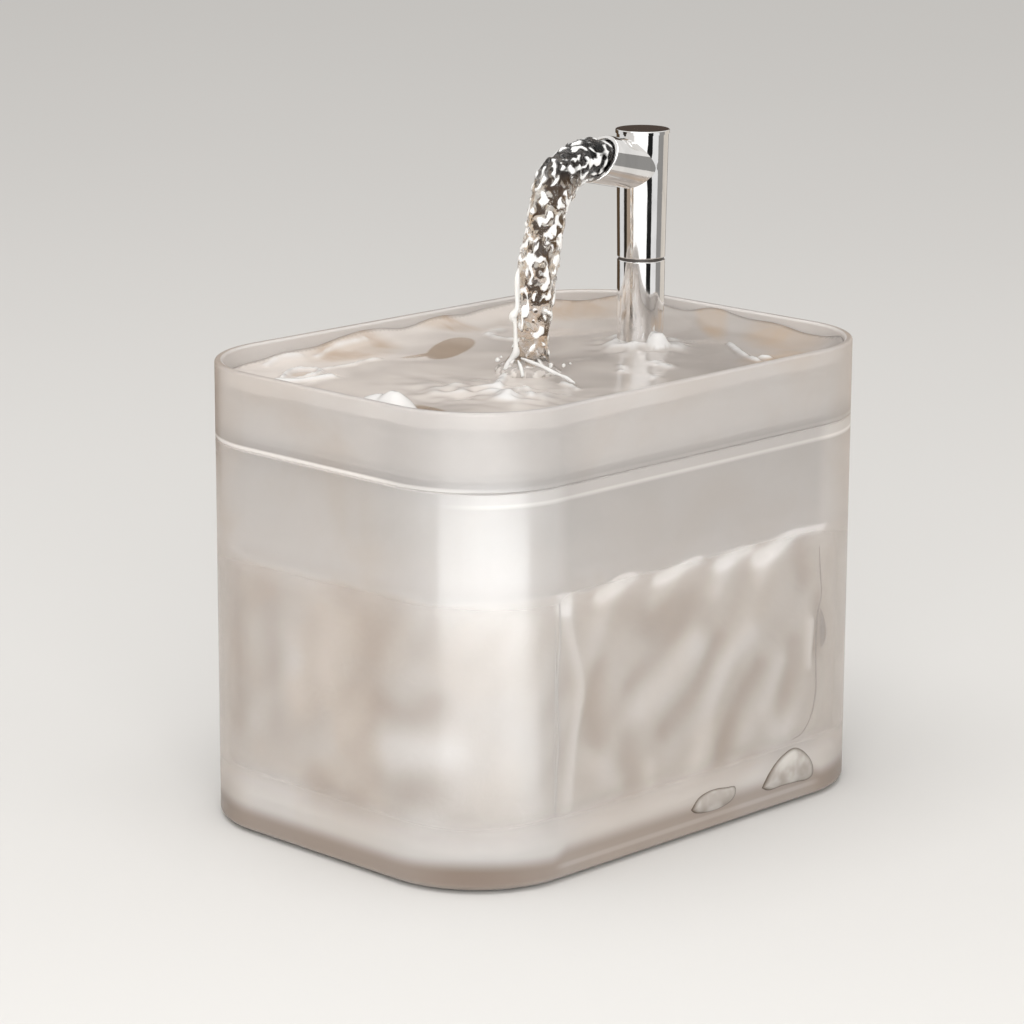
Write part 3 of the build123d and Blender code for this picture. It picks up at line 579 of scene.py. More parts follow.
class FountainStage(bpy.types.PropertyGroup):
    """Colours, sizes and lights of the stage"""

    floor: FloatVectorProperty(
        name="Floor", description="Colour of the floor",
        default=(0.62, 0.61, 0.595), **COLOUR)
    sky: FloatProperty(
        name="Room light", description="Strength of the even light from all round",
        default=0.85, min=0.0, max=5.0)
    key: FloatProperty(
        name="Key light", description="Power of the soft light beside the camera",
        default=14.0, min=0.0, max=500.0, unit="POWER")
    card_distance: FloatProperty(
        name="Card distance", description="From the faucet to the cards that it mirrors",
        default=0.5, min=0.2, max=2.0, unit="LENGTH")
    card_height: FloatProperty(
        name="Card height", description="Height of the cards that the faucet mirrors",
        default=0.36, min=0.05, max=2.0, unit="LENGTH")


# ---------------------------------------------------------------- finishes


def frosted_finish(name, colours):
    """Milky see-through plastic with a fine moulded grain, milkier where it is thick, with painted
    highlights, painted shade and painted warm light.
    """
    finish = Finish(name, transmission_weight=1.0, ior=1.46, coat_roughness=0.3)
    height = finish.along("Z")
    across, along = abs(finish.along("X")), abs(finish.along("Y"))
    corner = across.step(30 * MM, 62 * MM) * along.step(56 * MM, 88 * MM)
    front = finish.along("X").step(20 * MM, 40 * MM) * (0 - finish.along("Y")).step(40 * MM, 62 * MM)
    side_corner = corner * (1 - front)
    haze = finish.cloud(38 * MM, detail=3.0, warp=0.6)
    grain = finish.cloud(0.3 * MM, detail=1.0)
    flow = finish.cloud(30 * MM, detail=1.0)

    def band(start, end, rise=0.7):
        """1 between two heights in millimetres, with a rise outside each."""
        return height.step((start - rise) * MM, start * MM) * (1 - height.step(end * MM, (end + rise) * MM))

    # The faces that look towards the middle are the inner walls.
    inward = 0 - finish.node(
        "ShaderNodeVectorMath",
        {"operation": "DOT_PRODUCT"},
        {0: finish.node("ShaderNodeTexCoord", output="Normal"), 1: finish.place((1, 1, 0))},
        output="Value",
    )
    flat_side = 1 - along.step(53 * MM, 60 * MM)
    long_side = across.step(44 * MM, 62 * MM)
    # Painted shade at the foot: the walls turn dark brown towards the bottom, most at the corners.
    base_shade_mask = (1 - (height - 2 * MM * flat_side - 1 * MM * corner).step(5.5 * MM, 10.5 * MM)) \
        * (0.78 + 0.22 * corner - 0.14 * flat_side) * (0.72 + 0.28 * height.step(1 * MM, 3.5 * MM)) \
        * (1 - 0.3 * band(4.8, 5.4, 0.8) * flat_side)
    near_floor = 1 - height.step(9 * MM, 25 * MM)
    inner_rim = inward.step(10 * MM, 50 * MM) * height.step(130 * MM, 135 * MM)
    above_seam = height.step(116 * MM, 121 * MM)
    # Where the tray's skirt doubles the wall at the seam it is milkier, and painted lighter: a painted sheen
    # on the long sides, a thin painted highlight below it, and a painted highlight line above the seam on
    # the short sides.
    lap_and_sheen = band(113.4, 116.4) * long_side
    painted_glint = band(112.9, 113.5, 0.6) * long_side
    seam_highlight = band(117.2, 118.0) * (1 - 0.85 * long_side)
    dry_side_shade = flat_side * height.step(80 * MM, 95 * MM) * (1 - above_seam)

    # The side corners are tinted warm, in the glass and in the haze: painted warm light that shows through
    # the plastic.
    clear = finish.mix(haze.step(0.38, 0.66), colours.frosted, tone(colours.frosted, 0.97))
    clear = finish.mix(side_corner * 0.7, clear, tone(colours.frosted, (1.0, 0.88, 0.75)))
    milk = finish.mix(haze.step(0.36, 0.66), tone(colours.milk, 1.04), colours.milk_warm)
    milk = finish.mix(side_corner * 0.6, milk, tone(colours.milk_warm, (1.06, 0.90, 0.76)))
    milk = finish.mix(lap_and_sheen * 0.5 + 0.6 * painted_glint, milk, tone(colours.milk, 1.3))
    milk = finish.mix(seam_highlight * 0.9, milk, tone(colours.milk, 1.5))
    # The front corner, where the lamps' highlight falls, is painted cooler, and darker above the seam:
    # painted light and painted shade.
    milk = finish.mix(front * 0.7, milk, tone(colours.milk, (1.0, 1.03, 1.06)))
    milk = finish.mix(front * above_seam * 0.6, milk, tone(colours.milk, 0.84))
    # The inner rim is milkier, and painted lighter: painted light.
    milk = finish.mix(inner_rim, milk, tone(colours.milk, 1.08))
    # The dry part of the flat long sides is painted darker: painted shade.
    milk = finish.mix(dry_side_shade * 0.5, milk, tone(colours.milk, 0.78))
    milk = finish.mix(base_shade_mask, milk, colours.milk_base)
    normal = finish.bump(0.03 * grain + flow, 0.12 * MM)
    coat = (0.3 - 0.24 * above_seam) * (1 - 0.7 * side_corner) * (1 - 0.85 * flat_side) \
        * (1 + 0.9 * front * across.step(48 * MM, 60 * MM))
    # At the foot the glass is tinted brown as well: painted shade.
    finish.set({
        "base_color": finish.mix(base_shade_mask * 0.6, clear, tone(colours.frosted, (0.80, 0.72, 0.65))),
        "roughness": 0.17 + 0.05 * haze,
        "coat_weight": coat,
        "normal": normal,
    })
    share = 0.21 + 0.19 * height.step(74 * MM, 92 * MM) + 0.08 * above_seam + 0.1 * lap_and_sheen + 0.1 * painted_glint \
        + 0.2 * seam_highlight + (0.43 - 0.13 * corner - 0.22 * side_corner) * near_floor + 0.16 * inner_rim
    finish.veil(share, base_color=milk, roughness=0.5, specular_ior_level=0.25,
                coat_weight=coat, coat_roughness=0.3, normal=normal)
    return finish


def chrome_finish(name, colour):
    """Bright plating with faint smears and water spots."""
    finish = Finish(name, metallic=1.0)
    smear = finish.cloud(6 * MM, detail=4.0, warp=1.2, at=finish.place((1, 1, 0.35)))
    spots = finish.cells(2.6 * MM).step(0.10, 0.16)
    finish.set({
        "base_color": finish.mix(smear.step(0.35, 0.75), tone(colour, 1.04), tone(colour, 0.93)),
        "roughness": 0.045 + 0.05 * smear.step(0.45, 0.8) + 0.03 * (1 - spots),
        "normal": finish.bump(smear + 0.2 * spots, 0.015 * MM),
    })
    return finish


def moulded_finish(name, colour, rough=0.42, clear=0.0):
    """Injection-moulded plastic: fine texture, flow marks, scuffs."""
    finish = Finish(name, transmission_weight=clear, ior=1.47)
    flow = finish.cloud(14 * MM, detail=3.0, warp=1.0)
    fine = finish.cloud(0.25 * MM, detail=1.0)
    scuff = finish.cloud(3.5 * MM, detail=5.0, rough=0.7, at=finish.place((1, 3, 1)))
    finish.set({
        "base_color": finish.mix(flow.step(0.3, 0.7), tone(colour, 1.05), tone(colour, 0.91)),
        "roughness": rough + 0.12 * scuff.step(0.5, 0.75),
        "normal": finish.bump(fine + 0.6 * scuff, 0.03 * MM),
    })
    return finish


def rubber_finish(name, colour):
    """Matt rubber with dust in its pores."""
    finish = Finish(name, sheen_weight=0.15, specular_ior_level=0.35)
    pores = finish.cells(0.5 * MM)
    dust = finish.cloud(5 * MM, detail=4.0, rough=0.65)
    finish.set({
        "base_color": finish.mix(dust.step(0.48, 0.8), colour, tone(colour, 2.6)),
        "roughness": 0.62 + 0.2 * dust,
        "normal": finish.bump(pores + 0.5 * dust, 0.06 * MM),
    })
    return finish


def silicone_finish(name):
    """Clear rubber with a haze of dust and tiny bubbles."""
    finish = Finish(name, transmission_weight=0.75, ior=1.41)
    haze = finish.cloud(4 * MM, detail=3.0)
    bubbles = 1 - finish.cells(1.3 * MM).step(0.04, 0.1)
    finish.set({
        "base_color": finish.mix(haze.step(0.3, 0.8) + 0.3 * bubbles, (0.84, 0.85, 0.84),
                                 (0.93, 0.93, 0.91)),
        "roughness": 0.2 + 0.15 * haze,
        "normal": finish.bump(haze + bubbles, 0.03 * MM),
    })
    return finish


def foam_finish(name, colour, size):
    """Open foam: round pores whose middles are painted darker, as painted shade in the holes."""
    finish = Finish(name, sheen_weight=0.3)
    pores = finish.cells(size)
    small = finish.cells(size * 0.4)
    solid = pores.step(0.12, 0.42)
    # The pores' middles are painted dark: painted shade.
    finish.set({
        "base_color": finish.mix(solid * small.step(0.05, 0.3), tone(colour, 0.38), colour),
        "roughness": 0.8 + 0.15 * solid,
        "normal": finish.bump(solid + 0.5 * small, 0.5 * MM),
    })
    return finish


def cotton_finish(name):
    """Pressed filter wool: matted fibres over soft lumps, painted darker between the fibres as painted
    shade.
    """
    finish = Finish(name, sheen_weight=0.5, sheen_roughness=0.6)
    lumps = finish.cloud(6 * MM, detail=3.0)
    fibre_x = finish.cloud(0.5 * MM, detail=3.0, warp=2.5, at=finish.place((0.12, 1, 1)))
    fibre_y = finish.cloud(0.5 * MM, detail=3.0, warp=2.5, at=finish.place((1, 0.12, 1)))
    weave = fibre_x.maths("MAXIMUM", fibre_x, fibre_y)
    # Grey between the fibres: painted shade.
    finish.set({
        "base_color": finish.mix(weave.step(0.45, 0.7), (0.66, 0.65, 0.62), (0.90, 0.89, 0.86)),
        "roughness": 0.85 + 0.1 * lumps,
        "normal": finish.bump(weave + 1.5 * lumps, 0.4 * MM),
    })
    return finish


def bead_finish(name, dark, light, size, rough):
    """A bed of round beads or of granules, each painted lighter at its middle and darker at its edges:
    painted light and shade.
    """
    finish = Finish(name, specular_ior_level=0.6)
    bead = finish.cells(size)
    tint = finish.cloud(size * 2.2, detail=1.0)
    crown = 1 - bead.step(0.0, 0.75)
    # Light middles and dark edges between beads: painted light and shade.
    finish.set({
        "base_color": finish.mix(crown * (0.45 + 0.55 * tint), dark, light),
        "roughness": rough + 0.25 * tint,
        "normal": finish.bump(crown, 0.45 * size),
    })
    return finish


def metal_finish(name, colour, rough, stretch):
    """Bare metal with drawn or ground lines."""
    finish = Finish(name, metallic=1.0)
    lines = finish.cloud(0.3 * MM, detail=3.0, at=finish.place(stretch))
    stain = finish.cloud(4 * MM, detail=4.0)
    finish.set({
        "base_color": finish.mix(stain.step(0.45, 0.8), colour, tone(colour, 0.72)),
        "roughness": rough + 0.15 * lines + 0.1 * stain,
        "normal": finish.bump(lines, 0.03 * MM),
    })
    return finish


def laminated_finish(name):
    """A stack of punched steel sheets."""
    finish = Finish(name, metallic=0.85)
    sheets = finish.lines("Y", 0.5 * MM, Distortion=0.15)
    rust = finish.cloud(3 * MM, detail=4.0, rough=0.65)
    finish.set({
        "base_color": finish.mix(rust.step(0.5, 0.75), (0.32, 0.32, 0.34), (0.24, 0.17, 0.12)),
        "roughness": 0.42 + 0.25 * rust,
        "normal": finish.bump(sheets, 0.12 * MM),
    })
    return finish


def winding_finish(name):
    """Enamelled copper wire in tight turns, each painted lighter along its middle and darker in the grooves:
    painted light and shade.
    """
    finish = Finish(name, metallic=0.9, coat_weight=0.4, coat_roughness=0.15)
    turns = finish.lines("Z", 0.35 * MM, Distortion=0.8, Detail=1.0)
    shade = finish.cloud(2.5 * MM)
    # Light turns and dark grooves: painted light and shade.
    finish.set({
        "base_color": finish.mix(turns * (0.6 + 0.4 * shade), (0.22, 0.07, 0.025), (0.80, 0.36, 0.16)),
        "roughness": 0.25 + 0.15 * shade,
        "normal": finish.bump(turns, 0.15 * MM),
    })
    return finish


def board_finish(name):
    """Green circuit board with bright tracks and pads."""
    finish = Finish(name, coat_weight=0.5, coat_roughness=0.2)
    net = finish.cells(2.4 * MM, feature="DISTANCE_TO_EDGE")
    track = 1 - net.step(0.05, 0.09)
    pad = 1 - finish.cells(2.4 * MM).step(0.12, 0.16)
    board = finish.mix(finish.cloud(0.4 * MM), (0.015, 0.11, 0.045), (0.03, 0.17, 0.07))
    colour = finish.mix(track, board, (0.06, 0.30, 0.12))
    finish.set({
        "base_color": finish.mix(pad, colour, (0.70, 0.66, 0.52)),
        "metallic": pad * 0.9,
        "roughness": 0.38 - 0.12 * pad,
        "normal": finish.bump(track + pad, 0.05 * MM),
    })
    return finish


def poured_finish(name, colour, rough):
    """Cast resin, ceramic or sintered magnet: dense, with specks and faint dips."""
    finish = Finish(name, specular_ior_level=0.5)
    dips = finish.cloud(5 * MM, detail=2.0)
    specks = 1 - finish.cells(0.7 * MM).step(0.05, 0.14)
    finish.set({
        "base_color": finish.mix(0.5 * dips + 0.3 * specks, tone(colour, 1.12), tone(colour, 0.7)),
        "roughness": rough + 0.15 * dips + 0.1 * specks,
        "normal": finish.bump(dips - 0.3 * specks, 0.08 * MM),
    })
    return finish


def thin_water_finish(name, lump, dark, light, rough, depth, **constants):
    """Water in drops, threads and edges, between two colours over its lumps."""
    finish = Finish(name, ior=WATER_IOR, **constants)
    swirl = finish.cloud(lump)
    finish.set({
        "base_color": finish.mix(swirl, dark, light),
        "roughness": rough + 0.1 * swirl,
        "normal": finish.bump(swirl, depth),
    })
    return finish


def slot_finishes(colours):
    """What makes the finish of each of the record's material slots, and what it is given."""
    return {
        "frosted_plastic": (frosted_finish, colours),
        "white_plastic": (moulded_finish, colours.white),
        "clear_plastic": (moulded_finish, (0.86, 0.87, 0.87), 0.1, 0.7),
        "black_rubber": (rubber_finish, colours.black),
        "clear_silicone": (silicone_finish,),
        "white_foam": (foam_finish, (0.84, 0.83, 0.80), 1.1 * MM),
        "white_cotton": (cotton_finish,),
        "amber_resin": (bead_finish, (0.20, 0.07, 0.015), (0.82, 0.42, 0.10), 0.9 * MM, 0.18),
        "black_carbon": (bead_finish, (0.004, 0.004, 0.005), (0.07, 0.07, 0.075), 1.2 * MM, 0.45),
        "chrome": (chrome_finish, colours.chrome),
        "spring_steel": (metal_finish, (0.55, 0.54, 0.52), 0.25, (1, 0.1, 1)),
        "white_ceramic": (poured_finish, (0.82, 0.81, 0.78), 0.12),
        "ferrite": (poured_finish, (0.045, 0.045, 0.05), 0.4),
        "core_steel": (laminated_finish,),
        "copper_wire": (winding_finish,),
        "circuit_board": (board_finish,),
        "black_epoxy": (poured_finish, (0.018, 0.018, 0.02), 0.22),
    }


def dress(nodes, context):
    """Gives each CAD node the finish of its slot in the record, which is made when first asked for."""
    makers = slot_finishes(context.scene.fountain_colours)
    slots = {part["node"]: part["material_slot"] for part in frame["record"]["subparts"]}
    for name in nodes:
        look = slots[name] + "_look"
        if look not in bpy.data.materials:
            maker, *given = makers[slots[name]]
            maker(look, *given)
        materials = frame["nodes"][name].data.materials
        if not materials:
            materials.append(None)
        for k in range(len(materials)):
            materials[k] = bpy.data.materials[look]


# ---------------------------------------------------------------- operators


class FountainStep(bpy.types.Operator):
    """One step of the fountain's looks."""

    bl_options = {"REGISTER", "UNDO"}


class FOUNTAIN_OT_body(FountainStep):
    """Give the tank, the tray and their rubber parts their finishes"""

    bl_idname = "fountain.body"
    bl_label = "Tank and Tray"

    def execute(self, context):
        dress(["tank", "tray", "tank_feet", "cable_grommet"], context)
        return {"FINISHED"}


class FOUNTAIN_OT_faucet(FountainStep):
    """Give the faucet's column, head, cap, pipe, clip and seals their finishes"""

    bl_idname = "fountain.faucet"
    bl_label = "Faucet"

    def execute(self, context):
        dress(["faucet_column", "faucet_head", "head_cap", "riser_pipe", "column_bush",
               "swivel_washer", "retaining_clip", "spigot_o_ring", "head_o_ring"], context)
        # The washer lies in the shade of the split line, so it is painted dark: painted shade on a white
        # moulding.
        shaded = moulded_finish("washer_painted_shade", (0.05, 0.043, 0.038), 0.35)
        frame["nodes"]["swivel_washer"].data.materials[0] = shaded.material
        return {"FINISHED"}


class FOUNTAIN_OT_filter(FountainStep):
    """Give the basket, the cartridge, its layers and the grate their finishes"""

    bl_idname = "fountain.filter"
    bl_label = "Filter"

    def execute(self, context):
        dress(["filter_basket", "cartridge_shell", "filter_foam", "resin_bed", "carbon_bed",
               "cotton_pad", "filter_grate"], context)
        return {"FINISHED"}


class FOUNTAIN_OT_pump(FountainStep):
    """Give the pump, its motor, its intake and its hose their finishes"""

    bl_idname = "fountain.pump"
    bl_label = "Pump"

    def execute(self, context):
        dress(["pump_casing", "suction_cups", "volute_cover", "shaft_bushes", "impeller_shaft",
               "impeller", "rotor_magnet", "stator_core", "stator_coils", "driver_board",
               "motor_potting", "pump_gland", "intake_cover", "intake_foam", "flow_shutter",
               "outlet_hose"], context)
        return {"FINISHED"}


class FOUNTAIN_OT_tray_water(FountainStep):
    """Fill the tray with moving water that climbs the foot of the faucet"""

    bl_idname = "fountain.tray_water"
    bl_label = "Tray Water"

    def execute(self, context):
        water = context.scene.fountain_water
        colours = context.scene.fountain_colours
        wall_gap = 0.18 * MM
        half_x, half_y, radius = HALF_WIDTH - wall_gap, HALF_LENGTH - wall_gap, CORNER_RADIUS - wall_gap
        foot = 6.9 * MM  # radius of the hole round the faucet's foot
        bottom = TRAY_FLOOR + 1.9 * MM
        highest = TRAY_HIGH.z - 0.9 * MM
        outline, normals = rounded_outline(half_x, half_y, radius, water.tray_grid * 1.2)
        ring_points = 48
        ring = np.array([(foot * math.cos(a), FAUCET_Y + foot * math.sin(a))
                         for a in np.linspace(0, 2 * math.pi, ring_points, endpoint=False)])

        def inside(x, y):
            return min(depth_inside(x, y, half_x, half_y, radius), math.hypot(x, y - FAUCET_Y) - foot)

        plane, faces = filled(outline, [ring], inside, water.tray_grid)
        flat = plane / MM
        white = near_strokes(flat, CREST_STROKES)
        heaps = [(in_patch(flat, *oval, 0.8), high) for *oval, high in HEAPS]
        tan = sum(in_patch(flat, *patch) for patch in WARM_LIGHT_PATCHES)
        shade = sum(in_patch(flat, *patch) for patch in SHADE_PATCHES)
        points, highlights_and_foam, warm_light_marks, shades = [], [], [], []
        for k, (x, y) in enumerate(plane):
            # u and v are the same place in millimetres
            u, v = flat[k]
            swell = ripple(u, v, 30, 34, 0.4)
            cross = ripple(u + v, u - v, 21, 27, 7.7)
            lumps = 0.5 + 0.9 * ripple(u, v, 5.5, 5.5, 1.3)
            broken = 0.75 + 0.6 * ripple(u, v, 4, 4, 9.1)
            away = math.hypot(x, y - FAUCET_Y)
            climb = math.exp(-((away - 6.5 * MM) / (2.6 * MM)))
            collar = math.exp(-(((away - 11 * MM) / (4.5 * MM)) ** 2))
            foam_and_sheen = sum(share * math.exp(-((math.hypot(u - at_u, v - at_v) / size) ** 2))
                        for share, at_u, at_v, size in FROTH)
            edge = depth_inside(x, y, half_x, half_y, radius)
            # On the far sides the water climbs the wall almost to the rim.
            far = unit((y - x) / (40 * MM) + 0.2)
            climbing = (1.2 + 3.6 * far * (0.8 + 0.5 * cross)) * math.exp(-edge / (4.5 * MM))
            crested = min(1.2, white[k] * broken)
            raised = max(share[k] ** 0.6 * high for share, high in heaps)
            height = water.tray_swell * (0.8 * swell + 0.5 * cross + 0.6 * crested)
            height += MM * (1.6 * climb * (0.6 + lumps) + 1.5 * collar * lumps + 1.7 * foam_and_sheen * lumps
                            + climbing + raised)
            points.append((x, y, min(water.tray_level + height, highest)))
            # The white mark: painted highlights on the strokes and heaps, and foam round the faucet's foot
            # and the splash.
            spray = max(0.0, lumps - 0.35)
            highlights_and_foam.append(min(1.0, crested + 1.3 * collar * spray + 1.2 * foam_and_sheen * spray + 0.7 * climb
                              + min(1.0, raised)))
            warm_light_marks.append(min(1.0, tan[k] + 0.4 * max(0.0, cross - 0.25)))
            shades.append(min(1.0, shade[k]))
        # Down the walls and in round the floor's edge, by height and inset, then down the hole, and
        # the base across
        count = len(outline)
        levels = [(126 * MM, 0.0), (123.4 * MM, 0.0), (122.2 * MM, 0.35 * MM), (bottom, 0.9 * MM)]
        above = list(range(count))
        for level, inset in levels:
            below = list(range(len(points), len(points) + count))
            points += [(x, y, level) for x, y in outline - normals * inset]
            faces += between(above, below)
            above = below
        base_outline = np.array([points[k][:2] for k in above])
        low_ring = list(range(len(points), len(points) + ring_points))
        points += [(x, y, bottom) for x, y in ring]
        faces += between(range(count, count + ring_points), low_ring)
        base_order = above + low_ring
        faces += [[base_order[v] for v in face] for face in filled(base_outline, [ring], inside, 0)[1]]
        for marks in (highlights_and_foam, warm_light_marks, shades):
            marks += [0.0] * (len(points) - len(marks))

        finish = Finish("tray_water", transmission_weight=0.40, ior=WATER_IOR)
        fold = finish.cloud(26 * MM, detail=1.0, warp=0.8, at=finish.place((1, 0.8, 1)))
        fine = finish.cloud(6 * MM, detail=1.0, warp=0.5)
        rightwards = finish.along("X") + finish.along("Y")
        right, left = rightwards.step(-20 * MM, 110 * MM), 1 - rightwards.step(-110 * MM, -20 * MM)
        base = colours.tray_water
        # The water is painted lighter towards the left and darker towards the right: painted light and shade
        # over its random folds.
        pale = finish.mix(fold.step(0.35, 0.65), tone(base, 1.08), tone(base, 1.24))
        pale = finish.mix(right, pale, tone(base, 0.84))
        pale = finish.mix(left * 0.8, pale, tone(base, 1.4))
        broken = finish.cloud(14 * MM, warp=0.8).step(0.35, 0.65)
        # Tan patches are painted warm light that shows through the water; the dimmer ovals are painted
        # shade; white is painted highlights and foam.
        patch = finish.mark("tan").step(0.0, 0.8) * (0.45 + 0.45 * broken)
        warm = finish.mix(patch, pale, colours.tray_tan)
        shaded_water = finish.mix(finish.mark("shade").step(0.0, 0.6) * 0.9, warm, tone(colours.tray_tan, 0.80))
        finish.set({
            "base_color": finish.mix(finish.mark("crest_light").step(0.05, 1.0), shaded_water, colours.water_light),
            "roughness": 0.13 + 0.1 * fold - 0.08 * finish.mark("crest_light"),
            "normal": finish.bump(fold + 0.05 * fine, 0.4 * MM),
        })
        new_piece("tray_water", points, faces, finish, "tray_body",
                  marks={"crest_light": highlights_and_foam, "tan": warm_light_marks, "shade": shades})
        return {"FINISHED"}


class FOUNTAIN_OT_stream(FountainStep):
    """Pour the stream from the spout into the tray, with its splash and its drops"""

    bl_idname = "fountain.stream"
    bl_label = "Falling Stream"

    def execute(self, context):
        water = context.scene.fountain_water
        colours = context.scene.fountain_colours
        level = water.tray_level
        middle = water.stream_radius / MM
        # y, z and radius down the stream's middle line, in millimetres
        corners = [
            (29.6, 192.85, 5.85), (24.7, 193.9, 5.85), (18.8, 194.3, 6.0), (12.9, 192.6, 6.1),
            (8.0, 188.9, 6.1), (4.7, 183.6, middle + 0.3), (2.5, 177.0, middle + 0.2),
            (0.7, 169.5, middle + 0.1), (-0.8, 161.0, middle), (-1.9, 152.0, middle - 0.3),
            (-2.8, 145.0, middle - 0.6), (-3.4, 140.0, middle - 0.6), (-3.9, 137.2, middle - 0.2),
            (-4.2, 135.6, middle + 1.0), (-4.3, 134.6, middle + 2.8),
            (-4.4, level / MM - 0.3, middle + 4.4), (-4.4, level / MM - 3.0, middle + 4.8),
        ]
        line = smooth_path(corners, 16)
        sides = 110
        # Heights in millimetres: above the first the stream is inside the dark spout, and below
        # the second it spreads into the tray's water.
        spout_bottom, spread_top = 187, 138.6

        def foam_and_sheen(p, share):
            """How white the stream is at a point, in millimetres, and share of the way down: painted
            highlights and foam.
            """
            pull = Vector((p.x, p.y * 0.85, p.z * 0.7))
            blob = noise.noise(pull / 1.9 + Vector((3.1, 0.7, 5.0)))
            worm = 0.32 - abs(noise.noise(pull / 2.5 + Vector((7.7, 2.0, 0.4)))) * 2.2
            clear = 0.12 * unit((share - 0.55) / 0.15) - 0.5 * max(0.0, (share - 0.84) / 0.16)
            return unit((0.9 * blob + 0.7 * worm + 0.05 - clear) * 3.2)

        def foot(p):
            """How far the stream has turned into the tray's water, for a point in millimetres."""
            return unit((spread_top - p.z) / 3.6)

        def lump(place, k):
            """What the radius gains at a place on ring k."""
            share = k / len(line)
            p = place / MM
            pull = Vector((p.x, p.y * 0.8, p.z * 0.62))
            big = noise.noise(pull / 4.6 + Vector((3.1, 0.7, 5.0)))
            small = noise.noise(pull / 1.9 + Vector((0.3, 9.2, 1.0)))
            amount = water.stream_lumps * unit((share - 0.055) / 0.06)
            amount *= 1.0 + 0.6 * unit((share - 0.72) / 0.12)
            amount *= 1 - 0.6 * foot(p)
            return amount * (0.75 * big + 0.3 * small + 0.55 * foam_and_sheen(p, share) - 0.15)

        points, faces = swept_tube([Vector((0, y * MM, z * MM)) for y, z, _ in line],
                                   [radius * MM for _, _, radius in line], sides, lump)
        feet = [foot(p / MM) for p in points]
        # Inside the spout the water is painted nearly black: painted shade.
        shade_marks = [unit((p.z / MM - spout_bottom) / 5) for p in points]
        sheen_and_foam = [max(0.5 * sunk, foam_and_sheen(p / MM, min(1.0, k // sides / len(line))))
                  for k, (p, sunk) in enumerate(zip(points, feet))]
        finish = Finish("falling_water", transmission_weight=1.0, ior=WATER_IOR)
        fine = finish.cloud(1.3 * MM, detail=2.0, warp=0.8)
        swirl = finish.cloud(5 * MM, detail=2.0, warp=1.5)
        # Swirls of tan in the glass are painted warm light that shows through the water.
        clear = finish.mix(swirl.step(0.4, 0.62), (0.98, 0.96, 0.94), (0.84, 0.68, 0.52))
        finish.set({
            "base_color": finish.mix(finish.mark("dark") * 0.93, clear, (0.03, 0.03, 0.035)),
            "roughness": 0.01 + 0.03 * swirl,
            "normal": finish.bump(fine, 0.12 * MM),
        })
        foam_and_sheen_colour = finish.mix(swirl, (0.90, 0.90, 0.89), (0.98, 0.98, 0.97))
        foam_and_sheen_colour = finish.mix(finish.mark("foot") * 0.9, foam_and_sheen_colour, tone(colours.tray_water, 0.9))
        # The white veil is painted highlights and foam.
        finish.veil(finish.mark("white").step(0.1, 0.8) * 0.78, base_color=foam_and_sheen_colour,
                    roughness=0.08 + 0.1 * swirl)
        # Nothing of the splash may meet the tray's wall while the head swings round.
        reach = 60.6 * MM
        for k, p in enumerate(points):
            away = Vector((p.x, p.y - FAUCET_Y))
            if away.length > reach:
                away *= reach / away.length
                points[k] = Vector((away.x, away.y + FAUCET_Y, p.z))
        new_piece("water_stream", points, faces, finish, "head_body",
                  marks={"white": sheen_and_foam, "dark": shade_marks, "foot": feet})
        self.splash(water)
        return {"FINISHED"}

    def splash(self, water):
        """Threads and drops of water where the stream lands, painted near white as painted highlights."""
        # x, y, z and radius along each thread, in millimetres
        strands = [
            [(-1.5, -7.3, 164.3, 0.3), (-1.5, -7.8, 161.0, 0.9), (-1.3, -8.0, 156.7, 0.8),
             (-1.0, -8.3, 152.6, 0.75), (-1.8, -9.2, 150.0, 1.3), (-1.2, -9.0, 148.2, 0.65),
             (-0.9, -9.0, 144.6, 0.6), (-0.6, -9.2, 141.2, 0.75), (-0.2, -9.5, 139.2, 1.2),
             (-1.2, -10.4, 137.4, 0.8), (-1.6, -11.6, 135.8, 0.85), (-0.4, -13.6, 134.4, 0.9)],
            [(2.4, -9.9, 138.0, 0.3), (5.8, -9.4, 137.3, 0.55), (10.2, -9.0, 136.5, 0.5),
             (14.7, -8.8, 135.3, 0.65), (17.4, -8.8, 134.9, 0.4), (20.2, -8.9, 134.4, 0.6),
             (23.8, -9.3, 133.5, 0.3)],
            [(2.4, -11.2, 137.4, 0.3), (4.6, -12.4, 136.0, 0.55), (6.4, -13.2, 133.4, 0.5)],
        ]
        meshes = []
        for strand in strands:
            line = smooth_path(strand, 8)
            meshes.append(swept_tube([Vector(p[:3]) * MM for p in line], [p[3] * MM for p in line], 12))
        wall_reach = 59
        draws = np.random.default_rng(11)
        for _ in range(water.drops):
            turn, away = draws.uniform(0, 2 * math.pi), draws.uniform(8.5, 15.0)
            size, rise = draws.uniform(0.3, 0.75), draws.uniform(0.2, 3.5)
            x, y = away * math.cos(turn), -4.0 + 0.75 * away * math.sin(turn)
            # One that would meet the tray's wall as the head swings lies nearer the faucet.
            if math.hypot(x, y - FAUCET_Y / MM) > wall_reach:
                y += 3.0
            ball = bmesh.new()
            bmesh.ops.create_icosphere(ball, subdivisions=3, radius=size * MM)
            centre = Vector((x, y, water.tray_level / MM + 1.2 + rise)) * MM
            for v in ball.verts:
                v.co *= 1 + 0.25 * noise.noise(v.co / (size * MM) + Vector((size * 9, 0, 0)))
                v.co += centre
            ball.verts.ensure_lookup_table()
            meshes.append(([v.co.copy() for v in ball.verts],
                           [[v.index for v in f.verts] for f in ball.faces]))
            ball.free()
        points, faces = join_meshes(meshes)
        bright = thin_water_finish("splash_water", 2.5 * MM, (0.86, 0.85, 0.83), (0.97, 0.97, 0.96),
                                   0.06, 0.1 * MM, transmission_weight=0.45)
        new_piece("water_splash", points, faces, bright, "head_body")


